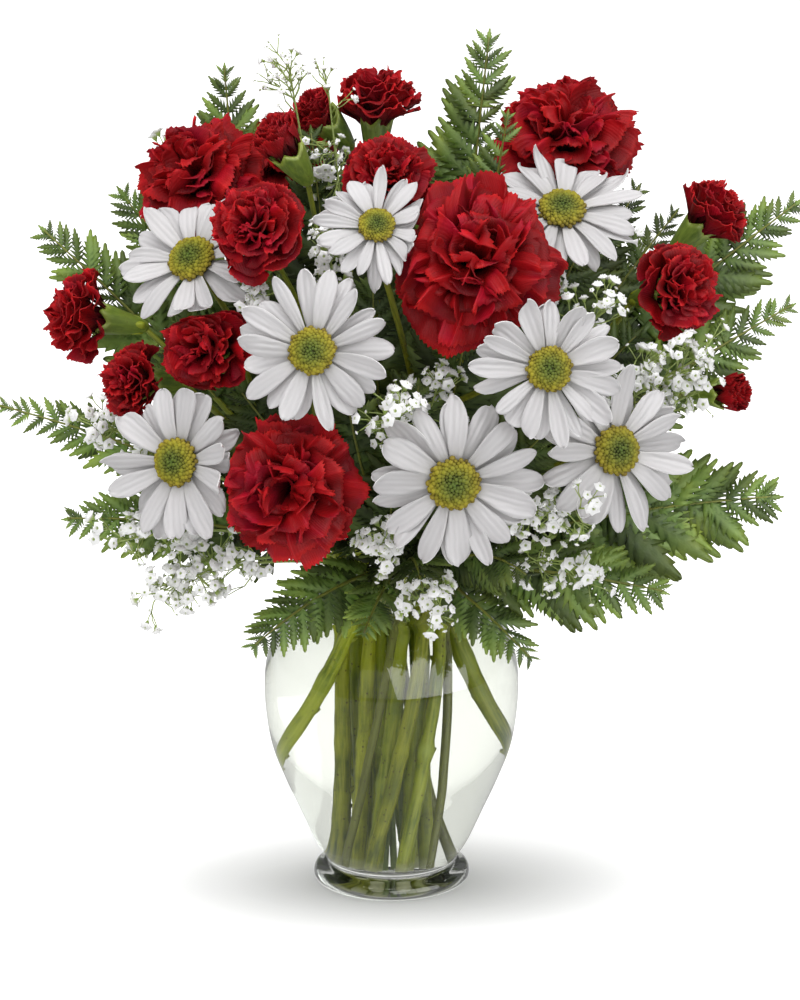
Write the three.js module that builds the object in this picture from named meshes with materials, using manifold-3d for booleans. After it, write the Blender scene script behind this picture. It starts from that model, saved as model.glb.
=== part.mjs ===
// Red carnations, spray carnations, white daisies, fern fronds and baby's breath
// in a round-shouldered clear glass vase filled with water.
//
// Millimetres, +Z up. The origin is the middle of the vase's flat underside, and
// the bouquet's front looks along -Y. Each flower head, each stem, the vase and
// the water are separate solids that lie clear of one another.

import * as THREE from "three";
import { mergeVertices } from "three/addons/utils/BufferGeometryUtils.js";
import Module from "manifold-3d";

const wasm = await Module();
wasm.setup();

// ---------------------------------------------------------------- dimensions

const GAP = 0.3; // clear space left between two pieces that touch

const VASE = {
  sides: 20,
  wall: 3.2,
  waterLevel: 134,
  bodySamples: 8,
  // outer outline, [radius, height]: the foot's corners, then the body's curve
  foot: [[0, 0], [34.5, 0], [36.8, 2.4], [36.2, 6.6], [31.5, 8.6]],
  body: [
    [30.2, 10.6], [36.6, 20.5], [43.6, 36], [50.6, 52], [56.9, 70],
    [59.6, 93], [58, 111], [51, 126], [40, 135.5], [32.6, 143],
    [33.8, 151], [39, 157],
  ],
};

const NECK_HEIGHT = 146; // the narrowest place, where all stems cross
const RIM_TOP = 159.2;
const STEM_FOOT = 13.4; // cut ends stand on the vase's floor

// Stems stand in the vase as a florist's spiral: rings of straight stems, all
// leaning the same way round, so that they pass each other without touching.
// rest is where a shorter stem leans on the glass instead: [radius, height, turn].
const RINGS = {
  outer: { neck: 24.2, foot: 21, turn: 74 },
  middle: { neck: 14.6, foot: 12, turn: 62 },
  inner: { neck: 5.2, foot: 4.6, turn: 60 },
};

// A facing is [degrees round from the front towards +X, degrees above level].
// place is the middle of the head, radius the reach of its longest petals.
const CARNATIONS = [
  { name: "carnation_1", place: [36, -90, 315], radius: 41, facing: [3, 30], ring: "middle", slot: -62 },
  { name: "carnation_2", place: [-43, -110, 222], radius: 35, facing: [-14, 4], ring: "outer", slot: -113,
    rest: [46.8, 60, 62] },
  { name: "carnation_3", place: [-84, -14, 336], radius: 33, facing: [-42, 46], ring: "middle", slot: 178 },
  { name: "carnation_4", place: [79, -4, 352], radius: 35, facing: [8, 66], ring: "middle", slot: -2 },
  { name: "carnation_5", place: [-46, 34, 340], radius: 27, facing: [-60, 62], ring: "middle", slot: 118 },
  { name: "carnation_6", place: [22, 92, 292], radius: 38, facing: [172, 28], ring: "outer", slot: 67,
    rest: [46.8, 60, 62] },
];

// Small carnations, three to a branching stem. bud is how far closed the head is.
const SPRAY_CARNATIONS = [
  { name: "spray_carnation_1", place: [-58, -88, 330], radius: 23.5, facing: [-18, 36], stem: 2 },
  { name: "spray_carnation_2", place: [-49, -42, 362], radius: 12, facing: [-62, 56], stem: 2, bud: 1 },
  { name: "spray_carnation_3", place: [-7, 10, 368], radius: 22, facing: [180, 83], stem: 3 },
  { name: "spray_carnation_4", place: [-2, -48, 345], radius: 22, facing: [6, 42], stem: 3 },
  { name: "spray_carnation_5", place: [-139, -15, 276], radius: 22, facing: [-72, 14], stem: 1 },
  { name: "spray_carnation_6", place: [-80, -80, 277], radius: 23, facing: [-28, 16], stem: 1 },
  { name: "spray_carnation_7", place: [-113, -60, 256], radius: 18.5, facing: [-52, 10], stem: 1 },
  { name: "spray_carnation_8", place: [128, -34, 292], radius: 22.5, facing: [42, 18], stem: 4 },
  { name: "spray_carnation_9", place: [146, 4, 320], radius: 18.5, facing: [82, 48], stem: 4, bud: 0.35 },
  { name: "spray_carnation_10", place: [155, -22, 242], radius: 9.5, facing: [55, 8], stem: 4, bud: 1 },
  { name: "spray_carnation_11", place: [-33, 8, 366], radius: 12, facing: [-60, 48], stem: 2, bud: 0.6 },
  { name: "spray_carnation_12", place: [-62, 78, 298], radius: 22, facing: [-142, 32], stem: 3 },
];
const SPRAY_STEMS = [
  { name: "spray_carnation_stem_1", number: 1, ring: "outer", slot: 175, fork: [-52, -22, 205] },
  { name: "spray_carnation_stem_2", number: 2, ring: "inner", slot: -150, fork: [-24, -22, 245] },
  { name: "spray_carnation_stem_3", number: 3, ring: "middle", slot: 60, fork: [-6, 18, 225] },
  { name: "spray_carnation_stem_4", number: 4, ring: "outer", slot: -5, fork: [62, -12, 215] },
];

const DAISIES = [
  { name: "daisy_1", place: [-86, -68, 312], radius: 36, facing: [-26, 40], stem: 1 },
  { name: "daisy_2", place: [-6, -98, 333], radius: 27, facing: [4, 38], stem: 2 },
  { name: "daisy_3", place: [75, -54, 331], radius: 35, facing: [6, 50], stem: 2 },
  { name: "daisy_4", place: [-33, -128, 286], radius: 34, facing: [-5, 14], stem: 1 },
  { name: "daisy_5", place: [67, -128, 278], radius: 33, facing: [6, 16], stem: 2 },
  { name: "daisy_6", place: [-92, -96, 229], radius: 36, facing: [-30, 12], stem: 1 },
  { name: "daisy_7", place: [27, -126, 228], radius: 38.5, facing: [2, 2], stem: 3 },
  { name: "daisy_8", place: [97, -96, 234], radius: 36.5, facing: [26, 14], stem: 3 },
  { name: "daisy_9", place: [84, 74, 252], radius: 34, facing: [138, 20], stem: 3 },
  { name: "daisy_10", place: [-48, 100, 226], radius: 34, facing: [-160, 12], stem: 1 },
];
const DAISY_STEMS = [
  { name: "daisy_stem_1", number: 1, ring: "outer", slot: -149, fork: [-34, -36, 205] },
  { name: "daisy_stem_2", number: 2, ring: "middle", slot: -122, fork: [14, -44, 235] },
  { name: "daisy_stem_3", number: 3, ring: "outer", slot: -41, fork: [36, -24, 190] },
];

// Fern fronds, by the bundle they stand in. tip and via steer the rib, half is
// the blade's half width, blade the share of the rib that carries leaflets.
const FERNS = [
  {
    name: "fern_fronds_left", ring: "outer", slot: 139,
    fronds: [
      { tip: [-76, 20, 384], via: [-70, 44, 284], half: 17, blade: 0.28, facing: [-10, 30], pairs: 5 },
      { tip: [-158, 2, 312], via: [-84, 4, 250], half: 22, blade: 0.45, facing: [-10, 25], pairs: 5 },
      { tip: [-180, -2, 231], via: [-90, 2, 216], half: 16, blade: 0.55, facing: [-5, 30], pairs: 6 },
      { tip: [-146, -48, 190], via: [-76, -34, 200], half: 19, blade: 0.5, facing: [-20, 35], pairs: 5 },
    ],
  },
  {
    name: "fern_fronds_front", ring: "outer", slot: -77,
    fronds: [
      { tip: [-60, -98, 146], via: [-30, -62, 196], half: 29, blade: 0.55, facing: [-15, 30], pairs: 5 },
      { tip: [-12, -100, 152], via: [-4, -62, 196], half: 22, blade: 0.5, facing: [0, 30], pairs: 5 },
      { tip: [62, -78, 134], via: [36, -56, 190], half: 25, blade: 0.5, facing: [20, 30], pairs: 5 },
      { tip: [122, -62, 160], via: [64, -54, 188], half: 21, blade: 0.5, facing: [25, 40], pairs: 5 },
    ],
  },
  {
    name: "fern_fronds_right", ring: "outer", slot: 31,
    fronds: [
      { tip: [174, -22, 193], via: [92, -20, 196], half: 28, blade: 0.55, facing: [10, 30], pairs: 6 },
      { tip: [184, 8, 276], via: [96, 0, 236], half: 18, blade: 0.45, facing: [5, 30], pairs: 5 },
      { tip: [186, 24, 320], via: [92, 26, 258], half: 25, blade: 0.5, facing: [0, 30], pairs: 6 },
      { tip: [44, 4, 400], via: [30, 14, 270], half: 23, blade: 0.42, facing: [0, 15], pairs: 6 },
      { tip: [52, -30, 372], via: [34, -8, 262], half: 14, blade: 0.3, facing: [5, 25], pairs: 5 },
    ],
  },
  {
    name: "fern_fronds_back", ring: "outer", slot: 103,
    fronds: [
      { tip: [-128, 74, 316], via: [-64, 50, 240], half: 22, blade: 0.45, facing: [-140, 30], pairs: 5 },
      { tip: [-108, 116, 200], via: [-54, 70, 206], half: 26, blade: 0.5, facing: [-140, 35], pairs: 5 },
      { tip: [62, 140, 190], via: [32, 76, 202], half: 27, blade: 0.5, facing: [170, 40], pairs: 5 },
      { tip: [84, 84, 352], via: [58, 40, 268], half: 24, blade: 0.4, facing: [150, 30], pairs: 5 },
    ],
  },
];

// Baby's breath, by main stem. Each spray ends in a cloud of small florets.
const BABYS_BREATH = [
  {
    name: "babys_breath_left", ring: "inner", slot: 140,
    sprays: [
      { tip: [-46, -14, 392], via: [-30, -4, 290], spread: 22 },
      { tip: [-140, -44, 236], via: [-66, -40, 214], spread: 20 },
      { tip: [-92, -88, 176], via: [-48, -58, 190], spread: 26 },
      { tip: [-104, 40, 336], via: [-60, 28, 270], spread: 22 },
    ],
  },
  {
    name: "babys_breath_front", ring: "inner", slot: -60,
    sprays: [
      { tip: [4, -134, 262], via: [0, -70, 230], spread: 22 },
      { tip: [20, -116, 168], via: [10, -62, 188], spread: 20 },
      { tip: [84, -88, 180], via: [46, -54, 196], spread: 24 },
      { tip: [94, -84, 296], via: [48, -48, 246], spread: 22 },
    ],
  },
  {
    name: "babys_breath_right", ring: "inner", slot: 40,
    sprays: [
      { tip: [146, -46, 252], via: [80, -16, 226], spread: 22 },
      { tip: [120, 60, 292], via: [62, 34, 238], spread: 22 },
      { tip: [40, 130, 252], via: [20, 60, 220], spread: 24 },
    ],
  },
];

const COLOURS = {
  glass: 0xe4edec,
  water: 0xdfeae8,
  carnationRed: 0xb30d17,
  daisyWhite: 0xf2f1f4,
  daisyDisc: 0xa8a332,
  stem: 0x6f8a35,
  fern: 0x2f6b26,
  babysBreath: 0xe9ece2,
};

// ---------------------------------------------------------------- small tools

const vec = (a) => new THREE.Vector3(...a);
const radians = THREE.MathUtils.degToRad;
const mix = THREE.MathUtils.lerp;

// A seeded random number source, so that every build is the same.
function randomFrom(seed) {
  let state = seed >>> 0;
  return () => {
    state = (state + 0x6d2b79f5) >>> 0;
    let t = Math.imul(state ^ (state >>> 15), 1 | state);
    t = (t + Math.imul(t ^ (t >>> 7), 61 | t)) ^ t;
    return ((t ^ (t >>> 14)) >>> 0) / 4294967296;
  };
}

function directionOf([round, above]) {
  const a = radians(round);
  const e = radians(above);
  return new THREE.Vector3(Math.sin(a) * Math.cos(e), -Math.cos(a) * Math.cos(e), Math.sin(e));
}

// The matrix that stands +Z of a local shape along a direction, at a place.
function placedAlong(direction, place) {
  const across = new THREE.Vector3(0, 0, 1).cross(direction);
  if (across.lengthSq() < 1e-6) across.set(1, 0, 0);
  across.normalize();
  const up = new THREE.Vector3().crossVectors(direction, across);
  return new THREE.Matrix4().makeBasis(across, up, direction).setPosition(place);
}

// A closed three.js geometry as a manifold solid, whichever way its faces turn.
function solidOf(geometry) {
  const bare = geometry.clone();
  bare.deleteAttribute("normal");
  bare.deleteAttribute("uv");
  const merged = mergeVertices(bare, 1e-4);
  const index = merged.index.array;
  const kept = [];
  for (let i = 0; i < index.length; i += 3) {
    const [a, b, c] = [index[i], index[i + 1], index[i + 2]];
    if (a !== b && b !== c && a !== c) kept.push(a, b, c);
  }
  const build = (triVerts) => new wasm.Manifold(new wasm.Mesh({
    numProp: 3,
    vertProperties: Float32Array.from(merged.attributes.position.array),
    triVerts: Uint32Array.from(triVerts),
  }));
  const made = build(kept);
  return made.volume() >= 0 ? made : build(kept.reverse());
}

// The largest body of a solid; scraps that a cut leaves loose are dropped.
function largestBody(solid) {
  return solid.decompose().reduce((a, b) => (a.volume() > b.volume() ? a : b));
}

function geometryOf(solid) {
  const { numProp, numVert, vertProperties, triVerts } = solid.getMesh();
  const position = new Float32Array(numVert * 3);
  for (let i = 0; i < numVert; i++) {
    position.set(vertProperties.subarray(i * numProp, i * numProp + 3), i * 3);
  }
  const geometry = new THREE.BufferGeometry();
  geometry.setAttribute("position", new THREE.BufferAttribute(position, 3));
  geometry.setIndex(new THREE.BufferAttribute(triVerts, 1));
  geometry.computeVertexNormals();
  return geometry;
}

function joined(solids) {
  return solids.reduce((all, next) => all.add(next));
}

const bouquet = new THREE.Group();
bouquet.name = "carnations_in_a_vase";

function addPiece(name, solid, colour, roughness, extra = {}) {
  const material = new THREE.MeshStandardMaterial({ color: colour, roughness, metalness: 0, ...extra });
  const mesh = new THREE.Mesh(geometryOf(solid), material);
  mesh.name = name;
  bouquet.add(mesh);
}

// ---------------------------------------------------------------- vase, water

// The body's outer curve, moved in by a depth. Moved in by the thickness of the
// glass it starts at the corner of the vase's floor.
function bodyOutline(depth) {
  const curve = new THREE.SplineCurve(VASE.body.map(([r, z]) => new THREE.Vector2(r, z)));
  return Array.from({ length: VASE.bodySamples + 1 }, (_, i) => {
    const p = curve.getPointAt(i / VASE.bodySamples);
    const along = curve.getTangentAt(i / VASE.bodySamples);
    return new THREE.Vector2(p.x - along.y * depth, p.y + along.x * depth);
  });
}

function turned(points, sides) {
  return new THREE.LatheGeometry(points, sides).rotateX(Math.PI / 2);
}

function vaseSolid() {
  const foot = VASE.foot.map(([r, z]) => new THREE.Vector2(r, z));
  const inner = bodyOutline(VASE.wall);
  const floorMiddle = new THREE.Vector2(0, inner[0].y);
  return solidOf(turned([...foot, ...bodyOutline(0), ...inner.reverse(), floorMiddle], VASE.sides));
}

function waterSolid() {
  const inner = bodyOutline(VASE.wall + GAP);
  const above = inner.findIndex((p) => p.y > VASE.waterLevel);
  const [low, high] = [inner[above - 1], inner[above]];
  const share = (VASE.waterLevel - low.y) / (high.y - low.y);
  const bottom = bodyOutline(VASE.wall)[0].y + GAP;
  const profile = [
    new THREE.Vector2(0, bottom),
    new THREE.Vector2(inner[0].x, bottom),
    ...inner.slice(1, above),
    new THREE.Vector2(mix(low.x, high.x, share), VASE.waterLevel),
    new THREE.Vector2(0, VASE.waterLevel),
  ];
  return solidOf(turned(profile, VASE.sides));
}

// ---------------------------------------------------------------- head sizes

// A cup at the end of a stem: how far behind its head's middle it ends, its
// length and width, where it swells, its teeth and the depth of its hollow.
function calyxOf(row) {
  const large = row.radius > 25;
  const bud = row.bud ?? 0;
  const width = large ? 6.6 : mix(4.8, Math.min(4.6, row.radius * 0.42), bud);
  return {
    top: row.radius * mix(0.5, 0.75, bud) + (large ? 1 : 2),
    length: large ? 24 : mix(15, 13, bud),
    width, swell: 0.62, tips: width * 0.34, hollow: 4, sides: 5,
  };
}

// A daisy's rays are two rows of petals on a hub, in shares of the radius but
// for thick and apart, the petals' thickness and the rows' distance. The rows
// part further towards their tips, so that no petal crosses another.
const RAYS = { perRow: 9, hub: 0.3, thick: 1.5, apart: 1.9, arch: 0.05, part: 0.02, loose: 0.05 };

const daisyCup = (row) => ({
  top: (RAYS.apart + RAYS.thick) / 2 + GAP + 0.2, length: row.radius * 0.16,
  width: row.radius * 0.19, swell: 0.4, tips: 0, hollow: -0.1, sides: 4,
});

// ---------------------------------------------------------------- stem routes

// A route is a list of points, each with the radius that it keeps clear and a
// flag that holds it where it is.
const SPACING = 7; // between the points of a route
const SLACK = 1.6; // clear space between two routes, besides their radii
const HANDLE = 0.38; // how far a route keeps its first direction, in shares of its length

function atAngle(radius, degrees, height) {
  return new THREE.Vector3(Math.cos(radians(degrees)) * radius, Math.sin(radians(degrees)) * radius, height);
}

function stemInVase({ ring, slot, rest }) {
  const { neck, foot, turn } = RINGS[ring];
  const start = atAngle(neck, slot, NECK_HEIGHT);
  const low = rest ? atAngle(rest[0], slot - rest[2], rest[1]) : atAngle(foot, slot - turn, STEM_FOOT);
  return { start, low, lean: start.clone().sub(low).normalize() };
}

function routeBetween(owner, start, startTangent, end, endTangent, radius, tail) {
  const pull = start.distanceTo(end) * HANDLE;
  const curve = new THREE.CubicBezierCurve3(
    start,
    start.clone().addScaledVector(startTangent, pull),
    end.clone().addScaledVector(endTangent, -pull),
    end,
  );
  const count = Math.max(4, Math.round(curve.getLength() / SPACING));
  const points = curve.getSpacedPoints(count).map((p, i) => ({
    p, radius, held: i === 0 || i === count,
  }));
  for (const piece of tail) points.push({ ...piece, held: true });
  return { owner, points };
}

// The calyx, or a daisy's cup, as the held end of a route.
function headTail(place, direction, top, length, width) {
  const tail = [];
  for (let back = length; back >= 0; back -= 5) {
    tail.push({ p: place.clone().addScaledVector(direction, -(top + back)), radius: width });
  }
  return tail;
}

const UP = new THREE.Vector3(0, 0, 1);
const routes = [];

function layRoute(owner, name, start, tangent, place, direction, top, length, width, radius) {
  const end = place.clone().addScaledVector(direction, -(top + length));
  const tail = headTail(place, direction, top, length, width);
  const route = routeBetween(owner, start, tangent, end, direction, radius, tail);
  route.name = name;
  routes.push(route);
}

const STEM_RADIUS = { carnation: 2.7, sprayMain: 2.3, sprayBranch: 1.5, daisyMain: 2.5, daisyBranch: 1.6 };

for (const row of CARNATIONS) {
  const { start, lean } = stemInVase(row);
  const { top, length, width } = calyxOf(row);
  layRoute(row.name, row.name, start, lean, vec(row.place), directionOf(row.facing),
    top, length, width, STEM_RADIUS.carnation);
}

function layBranches(stems, heads, sizeOf, main, branch) {
  for (const stem of stems) {
    const { start, lean } = stemInVase(stem);
    const fork = vec(stem.fork);
    const mine = heads.filter((h) => h.stem === stem.number);
    const middle = mine.reduce((sum, h) => sum.add(vec(h.place)), new THREE.Vector3())
      .divideScalar(mine.length);
    const onward = middle.clone().sub(fork).normalize().add(UP).normalize();
    const trunk = routeBetween(stem.name, start, lean, fork, onward, main, []);
    trunk.name = stem.name;
    routes.push(trunk);
    for (const head of mine) {
      const { top, length, width } = sizeOf(head);
      const place = vec(head.place);
      const leave = place.clone().sub(fork).normalize().add(onward).normalize();
      layRoute(stem.name, head.name, fork.clone(), leave, place, directionOf(head.facing),
        top, length, width, branch);
    }
  }
}

layBranches(SPRAY_STEMS, SPRAY_CARNATIONS, calyxOf, STEM_RADIUS.sprayMain, STEM_RADIUS.sprayBranch);
layBranches(DAISY_STEMS, DAISIES, daisyCup, STEM_RADIUS.daisyMain, STEM_RADIUS.daisyBranch);

const FROND_RIB = 1.2;
const SPRAY_STALK = 0.9;

function layBunch(bunch, members, radius) {
  const { start } = stemInVase(bunch);
  members.forEach((member, i) => {
    const curve = new THREE.QuadraticBezierCurve3(start, vec(member.via), vec(member.tip));
    const count = Math.round(curve.getLength() / SPACING);
    const points = curve.getSpacedPoints(count).map((p, k) => ({ p, radius, held: k === 0 || k === count }));
    routes.push({ owner: bunch.name, name: bunch.name + "_" + i, points });
  });
}
for (const bunch of FERNS) layBunch(bunch, bunch.fronds, FROND_RIB);
for (const bunch of BABYS_BREATH) layBunch(bunch, bunch.sprays, SPRAY_STALK);

// ---------------------------------------------------------------- keeping clear

// Each head as the flattened ball that its petals fill, half as thick as this
// share of its radius and this far ahead of its place.
const BALLS = { daisy: { ahead: 0.04, half: 0.2 }, carnation: { ahead: 0.08, half: 0.56 }, bud: 0.9 };
const heads = [
  ...CARNATIONS.map((r) => ({ ...r, kind: "carnation" })),
  ...SPRAY_CARNATIONS.map((r) => ({ ...r, kind: "carnation" })),
  ...DAISIES.map((r) => ({ ...r, kind: "daisy" })),
].map((row) => {
  const axis = directionOf(row.facing);
  const { ahead, half } = BALLS[row.kind];
  return {
    name: row.name, radius: row.radius, axis,
    half: mix(half, BALLS.bud, row.bud ?? 0) * row.radius,
    middle: vec(row.place).addScaledVector(axis, ahead * row.radius),
  };
});

// How far a point has to move to be outside a head, grown by a margin.
function pushFromHead(head, point, margin, out) {
  const from = point.clone().sub(head.middle);
  const along = from.dot(head.axis);
  const flat = head.axis.clone().multiplyScalar(along);
  const across = from.clone().sub(flat);
  const wide = head.radius + margin;
  const thick = head.half + margin;
  const reach = Math.hypot(across.length() / wide, along / thick);
  if (reach >= 1 || reach < 1e-6) return false;
  out.copy(from).multiplyScalar(1 / reach - 1);
  return true;
}

// Inside the neck a route keeps off the glass, and on its way out it rises over
// the rim before it may hang down outside.
const NECK_ROOM = 26.5; // radius inside the glass
const PAST_RIM = { radius: 46, height: RIM_TOP + 3 };

function passRim(node) {
  const fromAxis = Math.hypot(node.p.x, node.p.y);
  if (node.p.z > PAST_RIM.height || fromAxis > PAST_RIM.radius) return;
  const room = NECK_ROOM + Math.max(0, node.p.z - NECK_HEIGHT - 2) * 0.5 - node.radius;
  if (fromAxis > NECK_ROOM + 3) node.move.z += (PAST_RIM.height - node.p.z) * NUDGE;
  else if (fromAxis > room) {
    const back = ((fromAxis - room) / fromAxis) * NUDGE;
    node.move.x -= node.p.x * back;
    node.move.y -= node.p.y * back;
  }
}

// The routes are pushed apart, off the heads and out of the glass, and pulled
// straight, over and over, as stems settle when a bouquet is put together.
const NUDGE = 0.5; // share of a fault mended in one round
const STRAIGHTEN = 0.3; // share of a bend pulled straight in one round

function settle(rounds) {
  const all = [];
  for (const route of routes) {
    route.points.forEach((point, i) => all.push({ ...point, route, i, move: new THREE.Vector3() }));
    route.nodes = all.slice(-route.points.length);
  }
  const apart = new THREE.Vector3();
  const push = new THREE.Vector3();
  for (let round = 0; round < rounds; round++) {
    for (const node of all) node.move.set(0, 0, 0);
    for (let a = 0; a < all.length; a++) {
      for (let b = a + 1; b < all.length; b++) {
        const [m, n] = [all[a], all[b]];
        if (m.route.owner === n.route.owner || (m.held && n.held)) continue;
        const least = m.radius + n.radius + SLACK;
        const dx = m.p.x - n.p.x, dy = m.p.y - n.p.y, dz = m.p.z - n.p.z;
        const gap2 = dx * dx + dy * dy + dz * dz;
        const near = Math.hypot(least, SPACING / 2); // the points may stand staggered
        if (gap2 >= near * near) continue;
        const gap = Math.sqrt(gap2) || 1e-6;
        apart.set(dx, dy, dz).multiplyScalar((near - gap) / gap);
        m.move.addScaledVector(apart, n.held ? NUDGE : NUDGE / 2);
        n.move.addScaledVector(apart, m.held ? -NUDGE : -NUDGE / 2);
      }
    }
    for (const node of all) {
      if (node.held) continue;
      const { nodes } = node.route;
      const straight = nodes[node.i - 1].p.clone().add(nodes[node.i + 1].p).multiplyScalar(0.5).sub(node.p);
      node.move.addScaledVector(straight, STRAIGHTEN);
      for (const head of heads) {
        if (head.name === node.route.name && node.i > nodes.length - 6) continue;
        if (pushFromHead(head, node.p, node.radius + 0.8, push)) node.move.addScaledVector(push, NUDGE);
      }
      passRim(node);
    }
    for (const node of all) if (!node.held) node.p.add(node.move);
  }
  for (const route of routes) route.points = route.nodes;
}
settle(160);

// The points of a route that a tube with few faces needs to stay near it: a
// point is left out if the straight line past it misses it by less than this.
const MISS = 0.6;

function thinned(points) {
  if (points.length < 3) return points;
  const [first, last] = [points[0], points[points.length - 1]];
  const line = new THREE.Line3(first, last);
  const near = new THREE.Vector3();
  let worst = 0;
  let at = 0;
  points.forEach((p, i) => {
    const off = line.closestPointToPoint(p, true, near).distanceTo(p);
    if (off > worst) [worst, at] = [off, i];
  });
  if (worst < MISS) return [first, last];
  return [...thinned(points.slice(0, at + 1)), ...thinned(points.slice(at)).slice(1)];
}

// A closed tube through points, with a radius at each, and few sides. cup makes
// its last ring a toothed rim round a hollow.
function tube(points, radii, sides, cup) {
  const count = points.length;
  const normal = new THREE.Vector3(1, 0, 0);
  const vertices = [];
  const faces = [];
  const tangent = new THREE.Vector3();
  for (let i = 0; i < count; i++) {
    tangent.copy(points[Math.min(i + 1, count - 1)]).sub(points[Math.max(i - 1, 0)]).normalize();
    normal.addScaledVector(tangent, -normal.dot(tangent)).normalize();
    const side = new THREE.Vector3().crossVectors(tangent, normal);
    const ring = (share, lift) => {
      for (let k = 0; k < sides; k++) {
        const turn = (2 * Math.PI * (k + share)) / sides;
        const v = points[i].clone()
          .addScaledVector(normal, Math.cos(turn) * radii[i])
          .addScaledVector(side, Math.sin(turn) * radii[i])
          .addScaledVector(tangent, lift);
        vertices.push(v.x, v.y, v.z);
      }
    };
    ring(0, 0);
    if (cup && i === count - 1) ring(0.5, cup.tips);
  }
  for (let i = 0; i < count - 1; i++) {
    for (let k = 0; k < sides; k++) {
      const [a, b] = [i * sides + k, i * sides + ((k + 1) % sides)];
      faces.push(a, b, b + sides, a, b + sides, a + sides);
    }
  }
  for (let k = 1; k < sides - 1; k++) faces.push(0, k + 1, k);
  const top = (count - 1) * sides;
  if (cup) {
    const bottom = points[count - 1].clone().addScaledVector(tangent, -cup.hollow);
    const middle = vertices.push(bottom.x, bottom.y, bottom.z) / 3 - 1;
    for (let k = 0; k < sides; k++) {
      const [a, b, tip] = [top + k, top + ((k + 1) % sides), top + sides + k];
      faces.push(a, b, tip, a, tip, middle, tip, b, middle);
    }
  } else {
    for (let k = 1; k < sides - 1; k++) faces.push(top, top + k, top + k + 1);
  }
  const geometry = new THREE.BufferGeometry();
  geometry.setAttribute("position", new THREE.Float32BufferAttribute(vertices, 3));
  geometry.setIndex(faces);
  return solidOf(geometry);
}

// ---------------------------------------------------------------- flower heads

// Two heads that press together share the plane between them. Points near the
// plane are drawn back from it, so petals bend against it and never cross it.
const PRESS = 5; // how far from the plane petals begin to give way

function pressAgainstNeighbours(head, point) {
  for (const other of heads) {
    if (other === head) continue;
    const across = other.middle.clone().sub(head.middle);
    const distance = across.length();
    across.divideScalar(distance);
    const mine = supportOf(head, across);
    const theirs = supportOf(other, across.clone().negate());
    if (mine + theirs < distance + 1) continue;
    const plane = (distance + mine - theirs) / 2 - GAP;
    const s = point.clone().sub(head.middle).dot(across) - plane;
    if (s > -PRESS) {
      const eased = -PRESS * Math.exp(-(s + PRESS) / PRESS);
      point.addScaledVector(across, eased - s);
    }
  }
  return point;
}

// How far a head reaches in a direction.
function supportOf(head, direction) {
  const along = head.axis.dot(direction);
  return Math.hypot(head.half * along, head.radius * Math.sqrt(Math.max(0, 1 - along * along)));
}

// A carnation's petals as stacked ruffled layers. The profile runs out to each
// layer's rim and back to the fold above it, in shares of the radius. Rims are
// cut between petals and crinkled, and a bud's petals close up to a cone.
const LARGE_LAYERS = {
  rims: [[1, -0.14], [0.94, 0.12], [0.8, 0.34], [0.54, 0.5], [0.26, 0.52]],
  folds: [[0.4, -0.02], [0.36, 0.12], [0.26, 0.26], [0.13, 0.34]],
  middle: 0.36,
  petals: 5, points: 4,
};
const SMALL_LAYERS = {
  rims: [[1, -0.06], [0.88, 0.24], [0.56, 0.42]],
  folds: [[0.4, 0.06], [0.26, 0.2]],
  middle: 0.36,
  petals: 5, points: 3,
};
const PETAL_RIMS = { 4: [0.66, 0.99, 1.04, 0.96], 3: [0.64, 1.02, 0.98] };
const RIM_WAVE = 0.05; // up and down of a rim, and as much again by chance
const CLOSED = { narrow: 0.62, low: 0.35, high: 0.95, fold: 0.22, rise: 0.2, middle: 0.6, calm: 0.85 };

function carnationHead(row, head) {
  const { rims, folds, middle, petals, points } = row.radius > 25 ? LARGE_LAYERS : SMALL_LAYERS;
  const bud = row.bud ?? 0;
  const random = randomFrom(Math.round(row.place[0] * 7 + row.place[2] * 13));
  const R = row.radius;
  const { top, width, tips, hollow } = calyxOf(row);
  const clear = GAP * 1.7 - top; // the base fills the calyx's hollow, clear of it
  const lip = clear + tips * 0.95 - hollow * 0.05;
  const profile = [[0, (clear - hollow) / R], [(width * 0.95) / R, lip / R]];
  const rimAt = [];
  rims.forEach(([r, z], k) => {
    rimAt.push(profile.length);
    const closedRadius = mix(1, CLOSED.narrow, k / rims.length);
    const closedHeight = mix(CLOSED.low, CLOSED.high, k / rims.length);
    profile.push([mix(r, closedRadius, bud), mix(z, closedHeight, bud)]);
    if (folds[k]) profile.push([folds[k][0], mix(folds[k][1], CLOSED.fold + CLOSED.rise * k, bud)]);
  });
  profile.push([0, mix(middle, CLOSED.middle, bud)]);
  const sides = petals * points;
  const geometry = turned(profile.map(([r, z]) => new THREE.Vector2(r * R, z * R)), sides);
  const position = geometry.getAttribute("position");
  const notch = PETAL_RIMS[points];
  const jitter = rims.map(() => Array.from({ length: sides }, () => [random() - 0.5, random() - 0.5]));
  const matrix = placedAlong(head.axis, vec(row.place));
  const point = new THREE.Vector3();
  for (let i = 0; i <= sides; i++) {
    for (let j = 0; j < profile.length; j++) {
      const at = i * profile.length + j;
      const layer = rimAt.indexOf(j);
      point.fromBufferAttribute(position, at);
      if (layer >= 0) {
        const k = (i + layer * 2) % sides;
        const reach = mix(notch[k % points] + 0.1 * jitter[layer][k][0], 1, CLOSED.calm * bud);
        const wave = RIM_WAVE * ((k % 2 ? 1 : -1) + 2 * jitter[layer][k][1]) * (1 - CLOSED.calm * bud);
        point.x *= reach;
        point.y *= reach;
        point.z += wave * R;
      }
      point.applyMatrix4(matrix);
      if (j > 1) pressAgainstNeighbours(head, point);
      position.setXYZ(at, point.x, point.y, point.z);
    }
  }
  return solidOf(geometry);
}

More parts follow.
